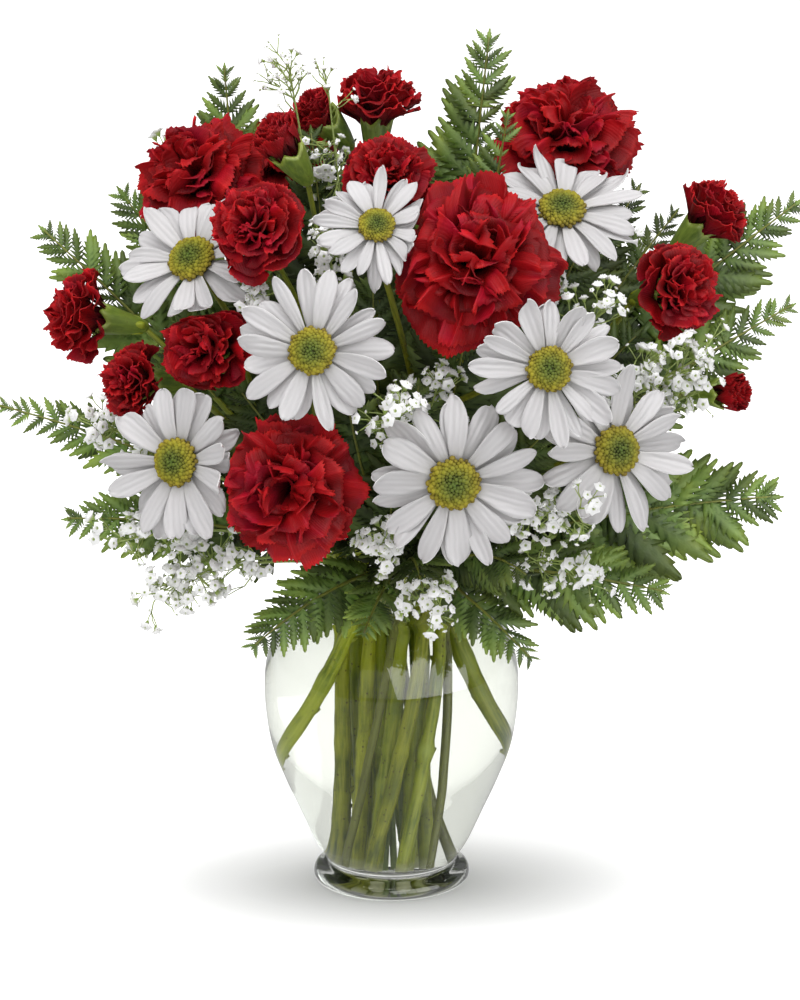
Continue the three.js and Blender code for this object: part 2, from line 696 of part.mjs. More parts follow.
// A daisy's ray petals as two rows round a small hub, the upper one turned by
// half a petal. Each petal is flat below, with a raised middle and thin edges.
const RAY_OUTLINE = [[0.64, -0.38], [0.95, -0.22], [0.98, 0.16], [0.64, 0.38]];

function daisyRays(row, head) {
  const random = randomFrom(Math.round(row.place[0] * 5 + row.place[2] * 11));
  const R = row.radius;
  const n = RAYS.perRow;
  const step = (2 * Math.PI) / n;
  const half = RAYS.thick / 2;
  const matrix = placedAlong(head.axis, vec(row.place));
  const vertices = [];
  const faces = [];
  const add = (radius, angle, z) => {
    const v = new THREE.Vector3(Math.cos(angle) * radius * R, Math.sin(angle) * radius * R, z);
    pressAgainstNeighbours(head, v.applyMatrix4(matrix));
    return vertices.push(v.x, v.y, v.z) / 3 - 1;
  };
  const rowOf = (turn, above) => {
    const lift = (above * RAYS.apart) / 2;
    const hub = [];
    for (let i = 0; i < n; i++) {
      const angle = turn + (i - 0.5) * step;
      hub.push([add(RAYS.hub, angle, lift + half), add(RAYS.hub, angle, lift - half)]);
    }
    for (let i = 0; i < n; i++) {
      const angle = turn + i * step;
      const reach = 1 - 0.12 * random();
      const tilt = above * (RAYS.part + RAYS.loose * random());
      const z = (share) => lift + R * (RAYS.arch * Math.sin(Math.PI * share) + tilt * share);
      const outline = RAY_OUTLINE.map(([out, aside]) => add(out * reach, angle + aside * step, z(out)));
      const middle = add(0.62 * reach, angle, z(0.62) + RAYS.thick);
      const [before, after] = [hub[i], hub[(i + 1) % n]];
      const upper = [before[0], ...outline, after[0]];
      for (let k = 0; k < upper.length; k++) faces.push(middle, upper[k], upper[(k + 1) % upper.length]);
      const lower = [before[1], ...outline, after[1]];
      for (let k = 2; k < lower.length - 1; k++) faces.push(outline[0], lower[k + 1], lower[k]);
      faces.push(outline[0], before[1], after[1]);
      faces.push(after[0], outline[3], after[1], before[0], before[1], outline[0]);
    }
    return hub;
  };
  const low = rowOf(0, -1);
  const high = rowOf(step / 2, 1);
  const topMiddle = add(0, 0, RAYS.apart / 2 + half);
  const underMiddle = add(0, 0, -RAYS.apart / 2 - half);
  for (let i = 0; i < n; i++) {
    const next = (i + 1) % n;
    faces.push(topMiddle, high[i][0], high[next][0], underMiddle, low[next][1], low[i][1]);
    faces.push(low[i][0], low[next][0], high[i][1], high[i][1], low[next][0], high[next][1]);
  }
  const geometry = new THREE.BufferGeometry();
  geometry.setAttribute("position", new THREE.Float32BufferAttribute(vertices, 3));
  geometry.setIndex(faces);
  return solidOf(geometry);
}

// The yellow-green disc: a dome whose florets stand up as rows of bumps.
const DISC = { radius: 0.275, height: 0.15, sides: 10, rows: 3, bump: 0.035, edge: 0.4 };

function daisyDisc(row, head) {
  const R = row.radius;
  const base = (RAYS.apart + RAYS.thick) / 2 + GAP;
  const profile = [new THREE.Vector2(0, base)];
  for (let k = 0; k < DISC.rows; k++) {
    const a = (k / DISC.rows) * (Math.PI / 2);
    const z = k ? base + Math.sin(a) * DISC.height * R + DISC.edge : base;
    profile.push(new THREE.Vector2(Math.cos(a) * DISC.radius * R, z));
  }
  profile.push(new THREE.Vector2(0, base + DISC.height * R * 0.92));
  const geometry = turned(profile, DISC.sides);
  const position = geometry.getAttribute("position");
  const matrix = placedAlong(head.axis, vec(row.place));
  const point = new THREE.Vector3();
  for (let i = 0; i <= DISC.sides; i++) {
    for (let j = 0; j < profile.length; j++) {
      const at = i * profile.length + j;
      point.fromBufferAttribute(position, at);
      if (j > 1 && j < profile.length - 1) {
        const out = 1 + ((i + j) % 2 ? DISC.bump : -DISC.bump) * 2;
        point.x *= out;
        point.y *= out;
        point.z += ((i + j) % 2 ? 1 : -1) * DISC.bump * R * 0.4;
      }
      point.applyMatrix4(matrix);
      position.setXYZ(at, point.x, point.y, point.z);
    }
  }
  return solidOf(geometry);
}

// ---------------------------------------------------------------- stems

function radiiAlong(count, from, to) {
  return Array.from({ length: count }, (_, i) => mix(from, to, i / (count - 1)));
}

// A tube that ends in a cup: it swells into the calyx, whose rim stands up in
// five points, and is hollowed to hold the base of the head.
function stemWithCup(points, radii, row, cup) {
  const axis = directionOf(row.facing);
  const place = vec(row.place);
  const back = (distance) => place.clone().addScaledVector(axis, -distance);
  const all = [
    ...points.slice(0, -1),
    back(cup.top + cup.length), back(cup.top + cup.length * cup.swell), back(cup.top),
  ];
  const rings = [...radii.slice(0, -1), radii[radii.length - 1], cup.width * 0.92, cup.width];
  return tube(all, rings, cup.sides, cup);
}

// Tubes that the water has to leave room for, each with its radius.
const inWater = [];

function fromVase(row, radius, sides) {
  const { low, start } = stemInVase(row);
  inWater.push({ points: [low, start], radius, sides });
  return low;
}

const routeNamed = (name) => routes.find((r) => r.name === name);
const pointsOf = (route) => {
  const until = route.points.findIndex((n, i) => i > 0 && n.held);
  return route.points.slice(0, until + 1).map((n) => n.p);
};

for (const row of CARNATIONS) {
  const radius = STEM_RADIUS.carnation;
  const points = [fromVase(row, radius, 5), ...thinned(pointsOf(routeNamed(row.name)))];
  const stem = stemWithCup(points, radiiAlong(points.length, radius, radius * 0.8), row, calyxOf(row));
  addPiece(row.name.replace("carnation_", "carnation_stem_"), stem, COLOURS.stem, 0.6);
}

function addBranchingStems(stems, headRows, cupOf, main, branch) {
  for (const stem of stems) {
    const trunk = [fromVase(stem, main, 5), ...thinned(pointsOf(routeNamed(stem.name)))];
    const parts = [tube(trunk, radiiAlong(trunk.length, main, branch + 0.5), 5)];
    for (const row of headRows.filter((h) => h.stem === stem.number)) {
      const points = thinned(pointsOf(routeNamed(row.name)));
      parts.push(stemWithCup(points, radiiAlong(points.length, branch, branch * 0.85), row, cupOf(row)));
    }
    addPiece(stem.name, joined(parts), COLOURS.stem, 0.6);
  }
}
addBranchingStems(SPRAY_STEMS, SPRAY_CARNATIONS, calyxOf, STEM_RADIUS.sprayMain, STEM_RADIUS.sprayBranch);
addBranchingStems(DAISY_STEMS, DAISIES, daisyCup, STEM_RADIUS.daisyMain, STEM_RADIUS.daisyBranch);

// ---------------------------------------------------------------- clear of all

const VASE_SLOPE = 0.4; // how the space kept clear above the vase's shoulder falls

// True if a point lies clear of every head, every other route and the vase.
function isClear(point, owner, margin) {
  const push = new THREE.Vector3();
  for (const head of heads) if (pushFromHead(head, point, margin, push)) return false;
  for (const route of routes) {
    if (route.owner === owner) continue;
    for (const node of route.points) {
      if (point.distanceTo(node.p) < Math.hypot(node.radius + margin, SPACING / 2)) return false;
    }
  }
  const fromAxis = Math.hypot(point.x, point.y);
  const vaseTop = RIM_TOP + 3 - VASE_SLOPE * Math.max(0, fromAxis - 40);
  return point.z >= vaseTop || fromAxis >= 62 + margin;
}

// ---------------------------------------------------------------- fern fronds

// A frond is one thin arched blade, cut to its rib into leaflets. Each leaflet
// is thick in its middle and thin at its pointed, toothed edge, and one that
// would touch a flower or a stem is left short.
const LEAFLET = {
  thick: 1.2, rib: 0.7, sweep: 0.62, shortest: 3.2,
  // share of the leaflet's length, share of its own stretch of rib, droop
  outline: [[0.55, 0.05, 0.4], [1, 0.45, 1.6], [0.72, 0.9, 0.8], [0.34, 0.98, 0.3]],
};

// The share of a curve's length at which it passes a point of its own.
function nearestShare(curve, p) {
  let best = 0;
  for (let i = 0; i <= 60; i++) {
    if (curve.getPointAt(i / 60).distanceTo(p) < curve.getPointAt(best).distanceTo(p)) best = i / 60;
  }
  return best;
}

function frondSolid(bunch, frond, route) {
  const points = route.points.map((n) => n.p);
  const curve = new THREE.CatmullRomCurve3(points);
  const bladeFrom = 1 - frond.blade;
  const facing = directionOf(frond.facing);
  const vertices = [];
  const faces = [];
  const add = (v) => vertices.push(v.x, v.y, v.z) / 3 - 1;
  const offset = (s, side, forward, lift) => s.p.clone()
    .addScaledVector(s.side, side).addScaledVector(s.along, forward).addScaledVector(s.out, lift);
  const half = LEAFLET.thick / 2;
  const corners = [[-1, 1], [1, 1], [1, -1], [-1, -1]];
  const stationAt = (at, share) => {
    const along = curve.getTangentAt(at);
    const out = facing.clone().addScaledVector(along, -facing.dot(along)).normalize();
    return { p: curve.getPointAt(at), along, out, side: new THREE.Vector3().crossVectors(along, out), share };
  };
  const ringAt = (s, wide, high) => corners.map(([m, n]) => add(offset(s, m * wide, 0, n * high)));
  const quad = (u, v, w, x) => faces.push(u, v, w, u, w, x);
  const stalkStations = thinned(Array.from({ length: 31 }, (_, i) => curve.getPointAt((i / 30) * bladeFrom)))
    .slice(0, -1).map((p) => stationAt(nearestShare(curve, p), 0));
  const stalk = stalkStations.map((s, i) => ringAt(s, ...(i ? [0.9, 0.9] : [1.1, 1.1])));
  const ribs = [];
  const stations = Array.from({ length: frond.pairs + 1 }, (_, i) => {
    const share = i / frond.pairs;
    const s = stationAt(mix(bladeFrom, 0.985, share), share);
    ribs.push(ringAt(s, LEAFLET.rib, half));
    return s;
  });
  const tip = add(curve.getPointAt(1));
  const gap = (curve.getLength() * frond.blade) / frond.pairs;
  for (let i = 0; i < frond.pairs; i++) {
    const [s, here, next] = [stations[i], ribs[i], ribs[i + 1]];
    const width = frond.half * Math.sin(Math.PI * mix(0.32, 0.94, s.share)) ** 0.8;
    for (const sign of [-1, 1]) {
      const [a, b, below, belowNext] = sign < 0
        ? [here[0], next[0], here[3], next[3]] : [here[1], next[1], here[2], next[2]];
      const face = (u, v, w) => faces.push(u, ...(sign > 0 ? [v, w] : [w, v]));
      const at = (length, [out, forward, droop], lift = 0) => offset(s, sign * (LEAFLET.rib + length * out),
        gap * forward + length * out * LEAFLET.sweep, lift - droop);
      let length = width;
      const clear = () => LEAFLET.outline.every((o) => isClear(at(length, o), bunch.name, 1.1));
      while (length > LEAFLET.shortest && !clear()) length *= 0.75;
      length = Math.max(length, LEAFLET.shortest);
      const outline = LEAFLET.outline.map((o) => add(at(length, o)));
      const top = add(at(length, [0.45, 0.5, 0.2], LEAFLET.thick - 0.2));
      const upper = [a, ...outline, b];
      for (let k = 0; k < upper.length; k++) face(top, upper[k], upper[(k + 1) % upper.length]);
      for (let k = 0; k < outline.length - 1; k++) face(below, outline[k + 1], outline[k]);
      face(below, belowNext, outline[3]);
      face(a, below, outline[0]);
      face(b, outline[3], belowNext);
    }
    quad(here[0], here[1], next[1], next[0]);
    quad(here[2], here[3], next[3], next[2]);
  }
  const rings = [...stalk, ribs[0]];
  for (let i = 1; i < rings.length; i++) {
    const [low, high] = [rings[i - 1], rings[i]];
    for (let k = 0; k < 4; k++) quad(low[k], low[(k + 1) % 4], high[(k + 1) % 4], high[k]);
  }
  const [first, end] = [stalk[0], ribs[frond.pairs]];
  for (let k = 0; k < 4; k++) faces.push(end[k], end[(k + 1) % 4], tip);
  faces.push(first[0], first[2], first[1], first[0], first[3], first[2]);
  const geometry = new THREE.BufferGeometry();
  geometry.setAttribute("position", new THREE.Float32BufferAttribute(vertices, 3));
  geometry.setIndex(faces);
  return solidOf(geometry);
}

for (const bunch of FERNS) {
  const parts = [tube([fromVase(bunch, 1.9, 4), stemInVase(bunch).start], [1.9, 1.9], 4)];
  bunch.fronds.forEach((frond, i) => {
    parts.push(frondSolid(bunch, frond, routeNamed(bunch.name + "_" + i)));
  });
  addPiece(bunch.name, joined(parts), COLOURS.fern, 0.65);
}

// ---------------------------------------------------------------- baby's breath

// Each spray is a three-sided stalk with whorls of side stalks. A side stalk is
// drawn out of one face of the stalk and swells into a floret at its end.
const FLORET = { radius: 2.7, stalk: 0.45, tip: 1.6, reach: [0.35, 0.9] };
const WHORLS = { count: 2, apart: 0.42, length: 1.8 }; // apart in shares of the spread, length of stalk in mm

function spraySolid(bunch, spray, route, random) {
  const curve = new THREE.CatmullRomCurve3(route.points.map((n) => n.p));
  const length = curve.getLength();
  const stations = [];
  for (let i = WHORLS.count - 1; i >= 0; i--) {
    const at = 1 - ((i + 0.6) * spray.spread * WHORLS.apart) / length;
    stations.push(at, at + WHORLS.length / length);
  }
  const root = route.points[0].p;
  const firstWhorl = curve.getPointAt(stations[0]);
  const below = thinned(pointsOf(route)).filter((p) => p.distanceTo(firstWhorl) > 5
    && p.distanceTo(root) < firstWhorl.distanceTo(root));
  const points = [...below, ...stations.map((at) => curve.getPointAt(at)), curve.getPointAt(1)];
  const vertices = [];
  const faces = [];
  const add = (v) => vertices.push(v.x, v.y, v.z) / 3 - 1;
  const normal = new THREE.Vector3(1, 0, 0);
  const rings = points.map((p, i) => {
    const ahead = points[Math.min(i + 1, points.length - 1)];
    const along = ahead.clone().sub(points[Math.max(i - 1, 0)]).normalize();
    normal.addScaledVector(along, -normal.dot(along)).normalize();
    const side = new THREE.Vector3().crossVectors(along, normal);
    const last = i === points.length - 1;
    const radius = last ? FLORET.radius : mix(SPRAY_STALK + 0.2, SPRAY_STALK - 0.2, i / points.length);
    return [0, 1, 2].map((k) => {
      const turn = (2 * Math.PI * k) / 3;
      return add(p.clone().addScaledVector(normal, Math.cos(turn) * radius)
        .addScaledVector(side, Math.sin(turn) * radius));
    });
  });
  const at = (index) => new THREE.Vector3().fromArray(vertices, index * 3);
  const end = points[points.length - 1];
  const outward = end.clone().sub(points[points.length - 2]).normalize();
  const apex = add(end.clone().addScaledVector(outward, FLORET.tip));
  faces.push(rings[0][0], rings[0][2], rings[0][1]);
  rings[rings.length - 1].forEach((v, k, ring) => faces.push(v, ring[(k + 1) % 3], apex));
  for (let i = 0; i < rings.length - 1; i++) {
    const whorl = i >= below.length && (i - below.length) % 2 === 0 && i < rings.length - 2;
    for (let k = 0; k < 3; k++) {
      const corners = [rings[i][k], rings[i][(k + 1) % 3], rings[i + 1][(k + 1) % 3], rings[i + 1][k]];
      const [a, b, c, d] = corners;
      const drawn = whorl && sideFloret(corners.map(at), spray, bunch.name, random);
      if (!drawn) {
        faces.push(a, b, c, a, c, d);
        continue;
      }
      const neck = drawn.neck.map(add);
      const wide = drawn.wide.map(add);
      const top = add(drawn.apex);
      for (let q = 0; q < 4; q++) {
        const r = (q + 1) % 4;
        faces.push(corners[q], corners[r], neck[r], corners[q], neck[r], neck[q]);
        faces.push(neck[q], neck[r], wide[r], neck[q], wide[r], wide[q], wide[q], wide[r], top);
      }
    }
  }
  const geometry = new THREE.BufferGeometry();
  geometry.setAttribute("position", new THREE.Float32BufferAttribute(vertices, 3));
  geometry.setIndex(faces);
  return solidOf(geometry);
}

// A side stalk and its floret, drawn out of the face between four corners, or
// nothing if there is no clear way for it.
function sideFloret(corners, spray, owner, random) {
  const [a, b, c, d] = corners;
  const root = a.clone().add(b).add(c).add(d).multiplyScalar(0.25);
  const around = b.clone().sub(a).normalize();
  const along = d.clone().sub(a).normalize();
  const out = new THREE.Vector3().crossVectors(around, along).normalize();
  for (let attempt = 0; attempt < 8; attempt++) {
    const way = out.clone().addScaledVector(along, 0.2 + 0.7 * random())
      .addScaledVector(around, 0.9 * (random() - 0.5)).normalize();
    const reach = spray.spread * mix(...FLORET.reach, random());
    const centre = root.clone().addScaledVector(way, reach);
    const probes = [0.4, 0.75, 1, 1.15].map((t) => root.clone().addScaledVector(way, reach * t));
    if (!probes.every((p) => isClear(p, owner, FLORET.radius + 0.4))) continue;
    const e1 = around.clone().addScaledVector(way, -around.dot(way)).normalize();
    const e2 = new THREE.Vector3().crossVectors(way, e1);
    const square = (middle, radius) => [[-1, -1], [1, -1], [1, 1], [-1, 1]].map(([m, n]) => middle.clone()
      .addScaledVector(e1, m * radius * Math.SQRT1_2).addScaledVector(e2, n * radius * Math.SQRT1_2));
    return {
      neck: square(centre.clone().addScaledVector(way, -FLORET.tip), FLORET.stalk),
      wide: square(centre, FLORET.radius),
      apex: centre.clone().addScaledVector(way, FLORET.tip),
    };
  }
  return null;
}

for (const [b, bunch] of BABYS_BREATH.entries()) {
  const random = randomFrom(900 + b);
  const parts = [tube([fromVase(bunch, 1.5, 4), stemInVase(bunch).start], [1.5, 1.5], 4)];
  bunch.sprays.forEach((spray, i) => {
    parts.push(spraySolid(bunch, spray, routeNamed(bunch.name + "_" + i), random));
  });
  addPiece(bunch.name, joined(parts), COLOURS.babysBreath, 0.7);
}

// ---------------------------------------------------------------- heads, vase

for (const row of [...CARNATIONS, ...SPRAY_CARNATIONS]) {
  const head = heads.find((h) => h.name === row.name);
  addPiece(row.name, carnationHead(row, head), COLOURS.carnationRed, 0.55);
}
for (const row of DAISIES) {
  const head = heads.find((h) => h.name === row.name);
  addPiece(row.name + "_rays", daisyRays(row, head), COLOURS.daisyWhite, 0.5);
  addPiece(row.name + "_disc", daisyDisc(row, head), COLOURS.daisyDisc, 0.75);
}

addPiece("vase", vaseSolid(), COLOURS.glass, 0.03, { transparent: true, opacity: 0.35 });

const holes = inWater.map(({ points: [low, start], radius, sides }) => {
  const below = low.clone().add(low.clone().sub(start).normalize().multiplyScalar(GAP));
  return tube([below, start], [radius + GAP + 0.05, radius + GAP + 0.05], sides);
});
addPiece("water", largestBody(waterSolid().subtract(joined(holes))), COLOURS.water, 0.02,
  { transparent: true, opacity: 0.3 });

export default bouquet;
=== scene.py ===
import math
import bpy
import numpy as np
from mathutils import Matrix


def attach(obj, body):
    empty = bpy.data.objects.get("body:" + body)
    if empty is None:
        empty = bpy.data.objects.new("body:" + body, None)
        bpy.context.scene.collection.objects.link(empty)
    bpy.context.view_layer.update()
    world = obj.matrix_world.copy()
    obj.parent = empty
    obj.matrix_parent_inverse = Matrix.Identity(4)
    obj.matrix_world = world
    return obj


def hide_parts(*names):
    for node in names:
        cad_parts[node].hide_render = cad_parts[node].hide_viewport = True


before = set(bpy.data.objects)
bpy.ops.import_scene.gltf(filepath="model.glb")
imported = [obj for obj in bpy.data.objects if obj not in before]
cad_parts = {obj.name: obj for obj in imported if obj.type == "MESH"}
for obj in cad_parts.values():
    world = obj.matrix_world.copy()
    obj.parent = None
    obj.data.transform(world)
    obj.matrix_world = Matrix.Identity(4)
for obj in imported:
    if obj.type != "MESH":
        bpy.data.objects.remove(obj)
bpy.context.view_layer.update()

# Red carnations, spray carnations, white daisies, fern and baby's breath in a
# clear glass vase of water. Every flower is laid out by the same tables and
# rules as the solids, in millimetres, and made in metres at the very end.

MM = 0.001
GOLDEN = math.pi * (3 - math.sqrt(5))

# ---------------------------------------------------------------- the bouquet

GAP = 0.3
NECK_HEIGHT = 146
RIM_TOP = 159.2
STEM_FOOT = 13.4
VASE_WALL = 3.2
WATER_LEVEL = 134
VASE_BODY = [
    (30.2, 10.6), (36.6, 20.5), (43.6, 36), (50.6, 52), (56.9, 70), (59.6, 93),
    (58, 111), (51, 126), (40, 135.5), (32.6, 143), (33.8, 151), (39, 157),
]
# where a ring of stems stands: radius in the neck, radius on the floor, turn
RINGS = {"outer": (24.2, 21, 74), "middle": (14.6, 12, 62), "inner": (5.2, 4.6, 60)}

# name: place, radius, facing, ring, slot, and where a short stem leans on the glass
CARNATIONS = {
    "carnation_1": ((36, -90, 315), 41, (3, 30), "middle", -62, None),
    "carnation_2": ((-43, -110, 222), 35, (-14, 4), "outer", -113, (46.8, 60, 62)),
    "carnation_3": ((-84, -14, 336), 33, (-42, 46), "middle", 178, None),
    "carnation_4": ((79, -4, 352), 35, (8, 66), "middle", -2, None),
    "carnation_5": ((-46, 34, 340), 27, (-60, 62), "middle", 118, None),
    "carnation_6": ((22, 92, 292), 38, (172, 28), "outer", 67, (46.8, 60, 62)),
}
# name: place, radius, facing, stem, how far closed
SPRAY_CARNATIONS = {
    "spray_carnation_1": ((-58, -88, 330), 23.5, (-18, 36), 2, 0),
    "spray_carnation_2": ((-49, -42, 362), 12, (-62, 56), 2, 1),
    "spray_carnation_3": ((-7, 10, 368), 22, (180, 83), 3, 0),
    "spray_carnation_4": ((-2, -48, 345), 22, (6, 42), 3, 0),
    "spray_carnation_5": ((-139, -15, 276), 22, (-72, 14), 1, 0),
    "spray_carnation_6": ((-80, -80, 277), 23, (-28, 16), 1, 0),
    "spray_carnation_7": ((-113, -60, 256), 18.5, (-52, 10), 1, 0),
    "spray_carnation_8": ((128, -34, 292), 22.5, (42, 18), 4, 0),
    "spray_carnation_9": ((146, 4, 320), 18.5, (82, 48), 4, 0.35),
    "spray_carnation_10": ((155, -22, 242), 9.5, (55, 8), 4, 1),
    "spray_carnation_11": ((-33, 8, 366), 12, (-60, 48), 2, 0.6),
    "spray_carnation_12": ((-62, 78, 298), 22, (-142, 32), 3, 0),
}
# number: ring, slot, fork
SPRAY_STEMS = {
    1: ("outer", 175, (-52, -22, 205)),
    2: ("inner", -150, (-24, -22, 245)),
    3: ("middle", 60, (-6, 18, 225)),
    4: ("outer", -5, (62, -12, 215)),
}
DAISIES = {
    "daisy_1": ((-86, -68, 312), 36, (-26, 40), 1, 0),
    "daisy_2": ((-6, -98, 333), 27, (4, 38), 2, 0),
    "daisy_3": ((75, -54, 331), 35, (6, 50), 2, 0),
    "daisy_4": ((-33, -128, 286), 34, (-5, 14), 1, 0),
    "daisy_5": ((67, -128, 278), 33, (6, 16), 2, 0),
    "daisy_6": ((-92, -96, 229), 36, (-30, 12), 1, 0),
    "daisy_7": ((27, -126, 228), 38.5, (2, 2), 3, 0),
    "daisy_8": ((97, -96, 234), 36.5, (26, 14), 3, 0),
    "daisy_9": ((84, 74, 252), 34, (138, 20), 3, 0),
    "daisy_10": ((-48, 100, 226), 34, (-160, 12), 1, 0),
}
DAISY_STEMS = {
    1: ("outer", -149, (-34, -36, 205)),
    2: ("middle", -122, (14, -44, 235)),
    3: ("outer", -41, (36, -24, 190)),
}
# side: slot, then fronds as tip, via, half width, share with leaflets, facing
FERNS = {
    "left": (139, [
        ((-76, 20, 384), (-70, 44, 284), 17, 0.28, (-10, 30)),
        ((-158, 2, 312), (-84, 4, 250), 22, 0.45, (-10, 25)),
        ((-180, -2, 231), (-90, 2, 216), 16, 0.55, (-5, 30)),
        ((-146, -48, 190), (-76, -34, 200), 19, 0.5, (-20, 35)),
    ]),
    "front": (-77, [
        ((-60, -98, 146), (-30, -62, 196), 29, 0.55, (-15, 30)),
        ((-12, -100, 152), (-4, -62, 196), 22, 0.5, (0, 30)),
        ((62, -78, 134), (36, -56, 190), 25, 0.5, (20, 30)),
        ((122, -62, 160), (64, -54, 188), 21, 0.5, (25, 40)),
    ]),
    "right": (31, [
        ((174, -22, 193), (92, -20, 196), 28, 0.55, (10, 30)),
        ((184, 8, 276), (96, 0, 236), 18, 0.45, (5, 30)),
        ((186, 24, 320), (92, 26, 258), 25, 0.5, (0, 30)),
        ((44, 4, 400), (30, 14, 270), 23, 0.42, (0, 15)),
        ((52, -30, 372), (34, -8, 262), 14, 0.3, (5, 25)),
    ]),
    "back": (103, [
        ((-128, 74, 316), (-64, 50, 240), 22, 0.45, (-140, 30)),
        ((-108, 116, 200), (-54, 70, 206), 26, 0.5, (-140, 35)),
        ((62, 140, 190), (32, 76, 202), 27, 0.5, (170, 40)),
        ((84, 84, 352), (58, 40, 268), 24, 0.4, (150, 30)),
    ]),
}
# short fronds that fill the heart of the bouquet: tip, via, half width, facing
FILLING = {
    "left": [
        ((-60, -30, 300), (-40, -10, 220), 24, (-20, 20)),
        ((-100, -20, 262), (-50, -10, 205), 22, (-30, 30)),
        ((-20, 20, 330), (-20, 10, 240), 24, (-10, 10)),
        ((-36, -6, 358), (-26, 2, 262), 22, (-5, 20)),
        ((-24, 26, 352), (-18, 16, 262), 22, (5, 20)),
    ],
    "front": [
        ((-8, -62, 300), (-6, -36, 214), 24, (0, 15)),
        ((12, -92, 262), (6, -50, 200), 22, (5, 10)),
        ((-20, -84, 258), (-12, -50, 200), 24, (-5, 15)),
        ((34, -78, 288), (22, -46, 214), 26, (5, 15)),
        ((66, -80, 236), (36, -50, 196), 24, (15, 15)),
        ((-66, -64, 252), (-32, -40, 200), 24, (-20, 15)),
        ((0, -80, 205), (0, -50, 180), 22, (0, 10)),
        ((14, -92, 170), (8, -58, 190), 15, (0, 30)),
        ((60, -84, 174), (34, -54, 188), 17, (10, 30)),
    ],
    "right": [
        ((110, -30, 270), (56, -14, 210), 26, (15, 20)),
        ((50, 0, 320), (30, 4, 230), 26, (5, 10)),
        ((108, -44, 230), (54, -26, 196), 22, (20, 20)),
        ((94, -6, 322), (52, 4, 232), 22, (5, 15)),
        ((114, 24, 328), (64, 16, 250), 18, (10, 20)),
        ((132, 28, 316), (74, 16, 245), 17, (15, 20)),
    ],
    "back": [
        ((0, 60, 320), (0, 36, 230), 26, (180, 20)),
        ((60, 70, 290), (34, 40, 220), 24, (160, 20)),
        ((-60, 60, 270), (-32, 36, 210), 24, (-160, 20)),
        ((0, 96, 230), (0, 50, 195), 24, (180, 20)),
    ],
}
# side: slot, then sprays as tip, via, spread
BABYS_BREATH = {
    "left": (140, [
        ((-46, -14, 392), (-30, -4, 290), 22), ((-140, -44, 236), (-66, -40, 214), 20),
        ((-92, -88, 176), (-48, -58, 190), 26), ((-104, 40, 336), (-60, 28, 270), 22),
    ]),
    "front": (-60, [
        ((4, -134, 262), (0, -70, 230), 22), ((20, -116, 168), (10, -62, 188), 20),
        ((84, -88, 180), (46, -54, 196), 24), ((94, -84, 296), (48, -48, 246), 22),
    ]),
    "right": (40, [
        ((146, -46, 252), (80, -16, 226), 22), ((120, 60, 292), (62, 34, 238), 22),
        ((40, 130, 252), (20, 60, 220), 24),
    ]),
}
# small sprays between the blooms: tip, via, spread
BREATH_FILLING = {
    "left": [((-62, -84, 303), (-30, -40, 230), 11), ((-30, -60, 318), (-14, -30, 240), 14),
             ((-28, -10, 378), (-18, -2, 280), 20),
             ((-120, -86, 190), (-60, -50, 196), 20), ((-102, -92, 168), (-50, -56, 188), 18)],
    "front": [((22, -96, 268), (8, -54, 215), 18), ((-6, -100, 190), (0, -60, 182), 16),
              ((50, -104, 208), (26, -60, 190), 16), ((84, -118, 214), (42, -64, 200), 18)],
    "right": [((112, -60, 262), (60, -30, 215), 16), ((70, -40, 312), (36, -16, 240), 18),
              ((140, -56, 268), (80, -24, 226), 20),
              ((-60, 110, 262), (-30, 60, 215), 18)],
}
STEM_RADIUS = {
    "carnation": 2.7, "spray_main": 2.3, "spray_branch": 1.5,
    "daisy_main": 2.5, "daisy_branch": 1.6,
}
FROND_RIB = 1.2
SPRAY_STALK = 0.9

# ---------------------------------------------------------------- small tools


def mix(a, b, share):
    return a + (b - a) * share


def smooth(x):
    x = np.clip(x, 0, 1)
    return x * x * (3 - 2 * x)


def unit(v):
    return v / np.maximum(np.linalg.norm(v, axis=-1, keepdims=True), 1e-9)


def direction_of(facing):
    """Degrees round from the front towards +X, then degrees above level."""
    a, e = math.radians(facing[0]), math.radians(facing[1])
    return np.array([math.sin(a) * math.cos(e), -math.cos(a) * math.cos(e), math.sin(e)])


def stand_along(axis, place, points):
    """Points of a shape that stands up along +Z, stood along an axis at a place."""
    across = unit(np.cross([0, 0, 1], axis))
    return np.asarray(place) + points @ np.stack([across, np.cross(axis, across), axis])


def round_axis(outward, aside, height, turn):
    """Points from distances outward, aside and up, each turned round the axis."""
    parts = np.broadcast_arrays(outward * np.cos(turn) - aside * np.sin(turn),
                                outward * np.sin(turn) + aside * np.cos(turn), height)
    return np.stack(parts, axis=-1)


def at_angle(radius, degrees, height):
    a = math.radians(degrees)
    return np.array([radius * math.cos(a), radius * math.sin(a), height])


# ---------------------------------------------------------------- head sizes

LARGE_BLOOM = 25
RAY_ROWS_APART = 1.9
RAY_THICK = 1.5
# how much higher the calyx of a small bloom stands, in shares of the bloom's radius
MOUTH_RISE = 0.2


def calyx_of(radius, bud):
    """Distance behind the head's middle, length, width and tooth length."""
    if radius > LARGE_BLOOM:
        return radius * 0.5 + 1, 24, 6.6, 6.6 * 0.34
    width = mix(4.8, min(4.6, radius * 0.42), bud)
    return radius * mix(0.5, 0.75, bud) + 2, mix(15, 13, bud), width, width * 0.34


def daisy_cup_of(radius, bud):
    return (RAY_ROWS_APART + RAY_THICK) / 2 + GAP + 0.2, radius * 0.16, radius * 0.19, 0


